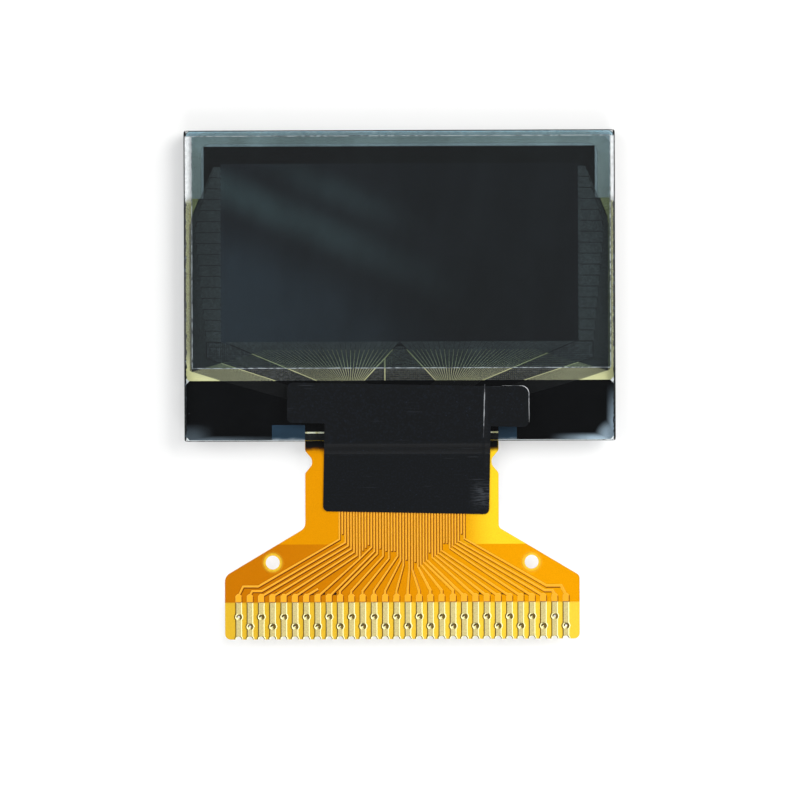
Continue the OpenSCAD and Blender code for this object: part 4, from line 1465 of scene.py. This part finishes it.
@dataclass
class TapePatch:
    """Black shield tape over the chip and the neck of the tail."""

    crease_x: float = 5.25
    crease_top: float = -8.0
    crease_bottom: float = -13.9
    line_bottom: float = -11.3
    crease_lean: float = 0.004
    glass_z: float = 1.23
    thick: float = 0.05
    corner: Point = (8.02, -8.08)
    corner_r: float = 0.5
    step: float = 0.16

    def build(self) -> None:
        """Build the creased tape in place of its plain solid."""
        form = bmesh.new()
        form.from_mesh(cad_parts["shield_tape"].data)
        for corner in form.verts:
            corner.co /= MM
        bmesh.ops.remove_doubles(form, verts=form.verts, dist=1e-4)
        low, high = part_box("shield_tape")
        for axis in (0, 1):
            start, end = low[axis] / MM, high[axis] / MM
            count = int((end - start) / self.step)
            for index in range(1, count):
                at = [0.0, 0.0, 0.0]
                at[axis] = start + (end - start) * index / count
                way = [0.0, 0.0, 0.0]
                way[axis] = 1.0
                bmesh.ops.bisect_plane(
                    form, geom=form.verts[:] + form.edges[:] + form.faces[:], dist=1e-5,
                    plane_co=at, plane_no=way,
                )
        form.normal_update()
        lifted = {corner for face in form.faces if face.normal.z > 0.3 for corner in face.verts}
        for corner in lifted:
            corner.co.z += self.lift(corner.co.x, corner.co.y)
        piece = hand_over("shield_tape_film", form, TapeSkin())
        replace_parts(piece, "shield_tape")
        self.crease_painted_highlight()
        self.corner_glint()

    def crease_painted_highlight(self) -> None:
        """Build the fine painted highlight along the crest of the crease."""
        form = bmesh.new()
        low, high = [], []
        count = 22
        for part in range(count + 1):
            y = self.crease_top + (self.line_bottom - self.crease_top) * part / count
            x = self.crease_x - self.crease_lean * part + 0.012 * noise.noise(Vector((y * 2, 1.0, 0.0)))
            wide = 0.028 + 0.01 * noise.noise(Vector((y * 3, 7.0, 0.0)))
            level = self.glass_z + self.thick + 0.038
            low.append(Vector((x - wide, y, level - 0.012)))
            high.append(Vector((x + wide, y, level)))
        strip(form, high, low, closed=False)
        hand_over(
            "crease_painted_highlight",
            form,
            Pale("crease_glint", shade(150, 154, 158), shade(48, 50, 54), 1.4),
        )

    def corner_glint(self) -> None:
        """Build the pale rim at the tape's upper right corner."""
        form = bmesh.new()
        centre = Vector((self.corner[0] - self.corner_r, self.corner[1] - self.corner_r))
        way = [(centre + Vector((-1.2, self.corner_r)), Vector((0, 1)))]
        for part in range(9):
            angle = math.radians(90 - 90 * part / 8)
            out = Vector((math.cos(angle), math.sin(angle)))
            way.append((centre + out * self.corner_r, out))
        way += [(centre + Vector((self.corner_r, -drop)), Vector((1, 0))) for drop in (0.5, 1.0, 1.5, 1.8)]
        level = self.glass_z + self.thick + 0.006
        wide = [0.006, 0.014, 0.03, 0.04, 0.045, 0.045, 0.045, 0.04, 0.036, 0.034, 0.03, 0.024, 0.014, 0.004]
        inner = [
            Vector((*(place - out * (0.02 + breadth)), level))
            for (place, out), breadth in zip(way, wide)
        ]
        outer = [Vector((*(place - out * 0.02), level)) for place, out in way]
        strip(form, inner, outer, closed=False)
        hand_over(
            "corner_glint",
            form,
            Pale("rim_glint", shade(196, 200, 204), shade(112, 116, 122), 2.0),
        )

    def lift(self, x: float, y: float) -> float:
        """Tell how far the film stands up from its bed at a place.

        Args:
            x: Place across the panel.
            y: Place up the panel.

        Returns:
            The lift in millimetres.
        """
        wave = 0.002 * noise.noise(Vector((x * 0.7, y * 0.7, 0.0)))
        wander = self.crease_x + 0.05 * noise.noise(Vector((y * 1.3, 4.0, 0.0)))
        inside = (
            min(1.0, max(0.0, (self.crease_top - y) / 0.3))
            * min(1.0, max(0.0, (y - self.crease_bottom) / 0.8))
        )
        crease = 0.03 * inside * math.exp(-((x - wander) / 0.12) ** 2)
        fold = 0.0
        across, up = x - 5.4, y + 15.4
        if across * across + up * up < 4:
            turned = across * 0.8 - up * 0.6
            fold = 0.02 * math.exp(-(across * across + up * up) / 0.4) * (1 + math.sin(turned * 14))
        return max(0.0, wave + crease + fold)


@dataclass
class SolderTail:
    """Flexible tail: films, copper, plated fingers and what stands out in relief."""

    copper_top: float = 0.70
    copper_foot: float = 0.68
    rear_face: float = 0.65
    cover_top: float = 0.73
    middle_x: float = 0.1
    holes_apart: float = 8.03
    hole_y: float = -19.03
    hole_r: float = 0.43
    fingers: int = 30
    pitch: float = 0.7
    via_rows: Point = (-22.4, -23.0)
    via_r: float = 0.15
    land_top: float = -21.1
    cover_end: float = -21.5
    ease: float = 0.0015

    def build(self) -> None:
        """Dress the tail and build its relief."""
        eased("base_sheet", "tail_base_film", FlexFilm(
            "base_film",
            0.8,
            shade(226, 188, 50),
            shade(252, 212, 70),
            shade(222, 182, 52),
            shade(252, 210, 68),
            tint=(0.95, 0.72, 0.05),
        ), self.copper_foot, -self.ease)
        eased(
            "cover_sheet",
            "front_coverlay",
            FlexFilm("front_cover", 0.72),
            self.copper_top,
            self.ease,
        )
        eased("rear_sheet", "rear_coverlay", FlexFilm(
            "rear_cover", 0.6, tint=(0.7, 0.42, 0.02),
        ), self.rear_face, -self.ease)
        dress("tail_copper", Metal("lane_copper", shade(250, 190, 104), shade(236, 166, 78), 0.35, 0.45))
        dress("tail_fingers", self.gold())
        self.lane_painted_shadows()
        self.lane_ridges()
        self.finger_relief()
        self.via_funnels()
        self.land_shadows()
        self.hole_collars()

    def gold(self) -> Relief:
        """Return the plated fingers' finish, with a painted highlight on their right slopes and painted
        shade on their left ones.
        """
        return Relief(
            "plated_gold_painted_light", shade(222, 206, 140), shade(255, 250, 190), shade(84, 62, 4),
            (-1.0, 0.0), (1.0, 0.0), 0.4, 0.25, 13.0, 0.45,
        )

    def finger_x(self, index: int) -> float:
        """Return the middle of a finger, counted from the left."""
        return self.middle_x + (index - (self.fingers - 1) / 2) * self.pitch

    def lane_ridges(self) -> None:
        """Build the low ridges that the lanes press up in the front coverlay, with a painted highlight on
        one side and painted shade on the other.
        """
        form = upper_faces("tail_copper", self.copper_top)
        bmesh.ops.inset_region(
            form, faces=form.faces[:], thickness=0.03, depth=0.02, use_even_offset=True, use_boundary=True,
        )
        for corner in form.verts:
            corner.co.z += self.cover_top - self.copper_top + 0.002
        turn = 1 / math.sqrt(2)
        # Painted light: slopes facing the upper left get a painted highlight, slopes facing the lower right
        # painted shade.
        hand_over("lane_ridges", form, Relief(
            "ridge_film_painted_light", shade(248, 172, 30), shade(255, 190, 60), shade(150, 82, 0),
            (0.6, -0.8), (-turn, turn), 0.35, mottled=0.15,
        ))

    def lane_painted_shadows(self) -> None:
        """Build the painted shadows beside the lanes, as brown copies of the lanes moved to the lower right.
        """
        form = upper_faces("tail_copper", self.copper_top)
        for corner in form.verts:
            # Painted shadow: each copy sits a little to the lower right of its lane, under the ridges.
            corner.co += Vector((0.025, -0.04, self.cover_top + 0.001 - corner.co.z))
            corner.co.y = max(corner.co.y, self.cover_end)
        hand_over(
            "lane_painted_shadows",
            form,
            Veil("lane_shadow_paint", (0.35, 0.2, 0.03), shade(104, 50, 0), 0.7, 0.1),
        )

    def finger_relief(self) -> None:
        """Build the plating that rounds off the fingers."""
        form = upper_faces("tail_fingers", self.copper_top)
        bmesh.ops.inset_region(
            form, faces=form.faces[:], thickness=0.05, depth=0.025, use_even_offset=True, use_boundary=True,
        )
        for corner in form.verts:
            corner.co.z += 0.001
        hand_over("finger_plating", form, self.gold())

    def via_funnels(self) -> None:
        """Build the plating that narrows inside each finger's hole, dark gold as painted shade in the hole
        with a painted highlight crescent on one side.
        """
        form = bmesh.new()
        around = 16
        for index in range(self.fingers):
            centre = Vector((self.finger_x(index), self.via_rows[index % 2], 0.0))
            outermost = index < 2 or index > self.fingers - 3
            neck = 0.075 if outermost else 0.03
            rings = []
            for radius, level in ((self.via_r, 0.7), (self.via_r * 0.8, 0.684), (neck, 0.662)):
                rings.append([
                    centre + Vector(
                        (
                            radius * math.cos(math.tau * part / around),
                            radius * math.sin(math.tau * part / around),
                            level,
                        )
                    )
                    for part in range(around)
                ])
            strip(form, rings[1], rings[0])
            strip(form, rings[2], rings[1])
        turn = 1 / math.sqrt(2)
        # Painted light: the dark gold is painted shade in the hole, and slopes facing the upper right take a
        # painted highlight crescent.
        hand_over("via_funnels", form, Relief(
            "via_gold_painted_light", shade(120, 98, 24), shade(236, 226, 160), shade(74, 56, 6),
            (turn, -turn), (turn, turn), 0.35, 0.3,
        ), smooth=True)

    def land_shadows(self) -> None:
        """Build the painted shadows between the tops of the lands."""
        form = bmesh.new()
        for index in (*range(2, 9), *range(21, 27)):
            size = 0.6 + 0.4 * abs(math.sin(index * 1.7))
            centre_x = self.finger_x(index) + self.pitch / 2
            lean = -0.1 if index < self.fingers / 2 else 0.1
            shape = ((-0.17, -0.09), (0.11, -0.1), (0.17, 0.02), (0.06, 0.1), (-0.14, 0.08))
            form.faces.new([
                form.verts.new((
                    centre_x + x * size + lean * (y + 0.1),
                    self.land_top + 0.14 + y * size,
                    self.cover_top + 0.0025,
                ))
                for x, y in shape
            ])
        hand_over(
            "land_shadows",
            form,
            Pale("land_shadow_paint", shade(60, 30, 0), shade(20, 10, 0), 6.0),
        )

    def hole_collars(self) -> None:
        """Build the thin rings of pressed film round the locating holes, which carry a painted glow."""
        form = bmesh.new()
        around = 48
        for side in (-1, 1):
            rings = []
            for radius, rise in ((0.002, 0.0), (0.06, 0.003), (0.16, 0.001), (0.32, 0.0)):
                rings.append([
                    Vector((
                        self.middle_x + side * self.holes_apart
                        + (self.hole_r + radius) * math.cos(math.tau * part / around),
                        self.hole_y + (self.hole_r + radius) * math.sin(math.tau * part / around),
                        self.cover_top + self.ease + rise,
                    ))
                    for part in range(around)
                ])
            for inner, outer in zip(rings, rings[1:]):
                strip(form, outer, inner)
        hand_over("hole_collars", form, CollarGlow(
            "collar_painted_glow", shade(255, 214, 60), self.middle_x, self.holes_apart, self.hole_y,
            (self.hole_r, self.hole_r + 0.3),
        ))


def main() -> None:
    """Build and dress the panel."""
    logging.basicConfig(level=logging.INFO, format="%(message)s")
    Studio().build()
    for part in (GlassPack(), PictureField(), DriverLedge(), TapePatch(), SolderTail()):
        part.build()
        LOG.info("finished %s", type(part).__name__)
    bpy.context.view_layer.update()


if __name__ == "__main__":
    main()
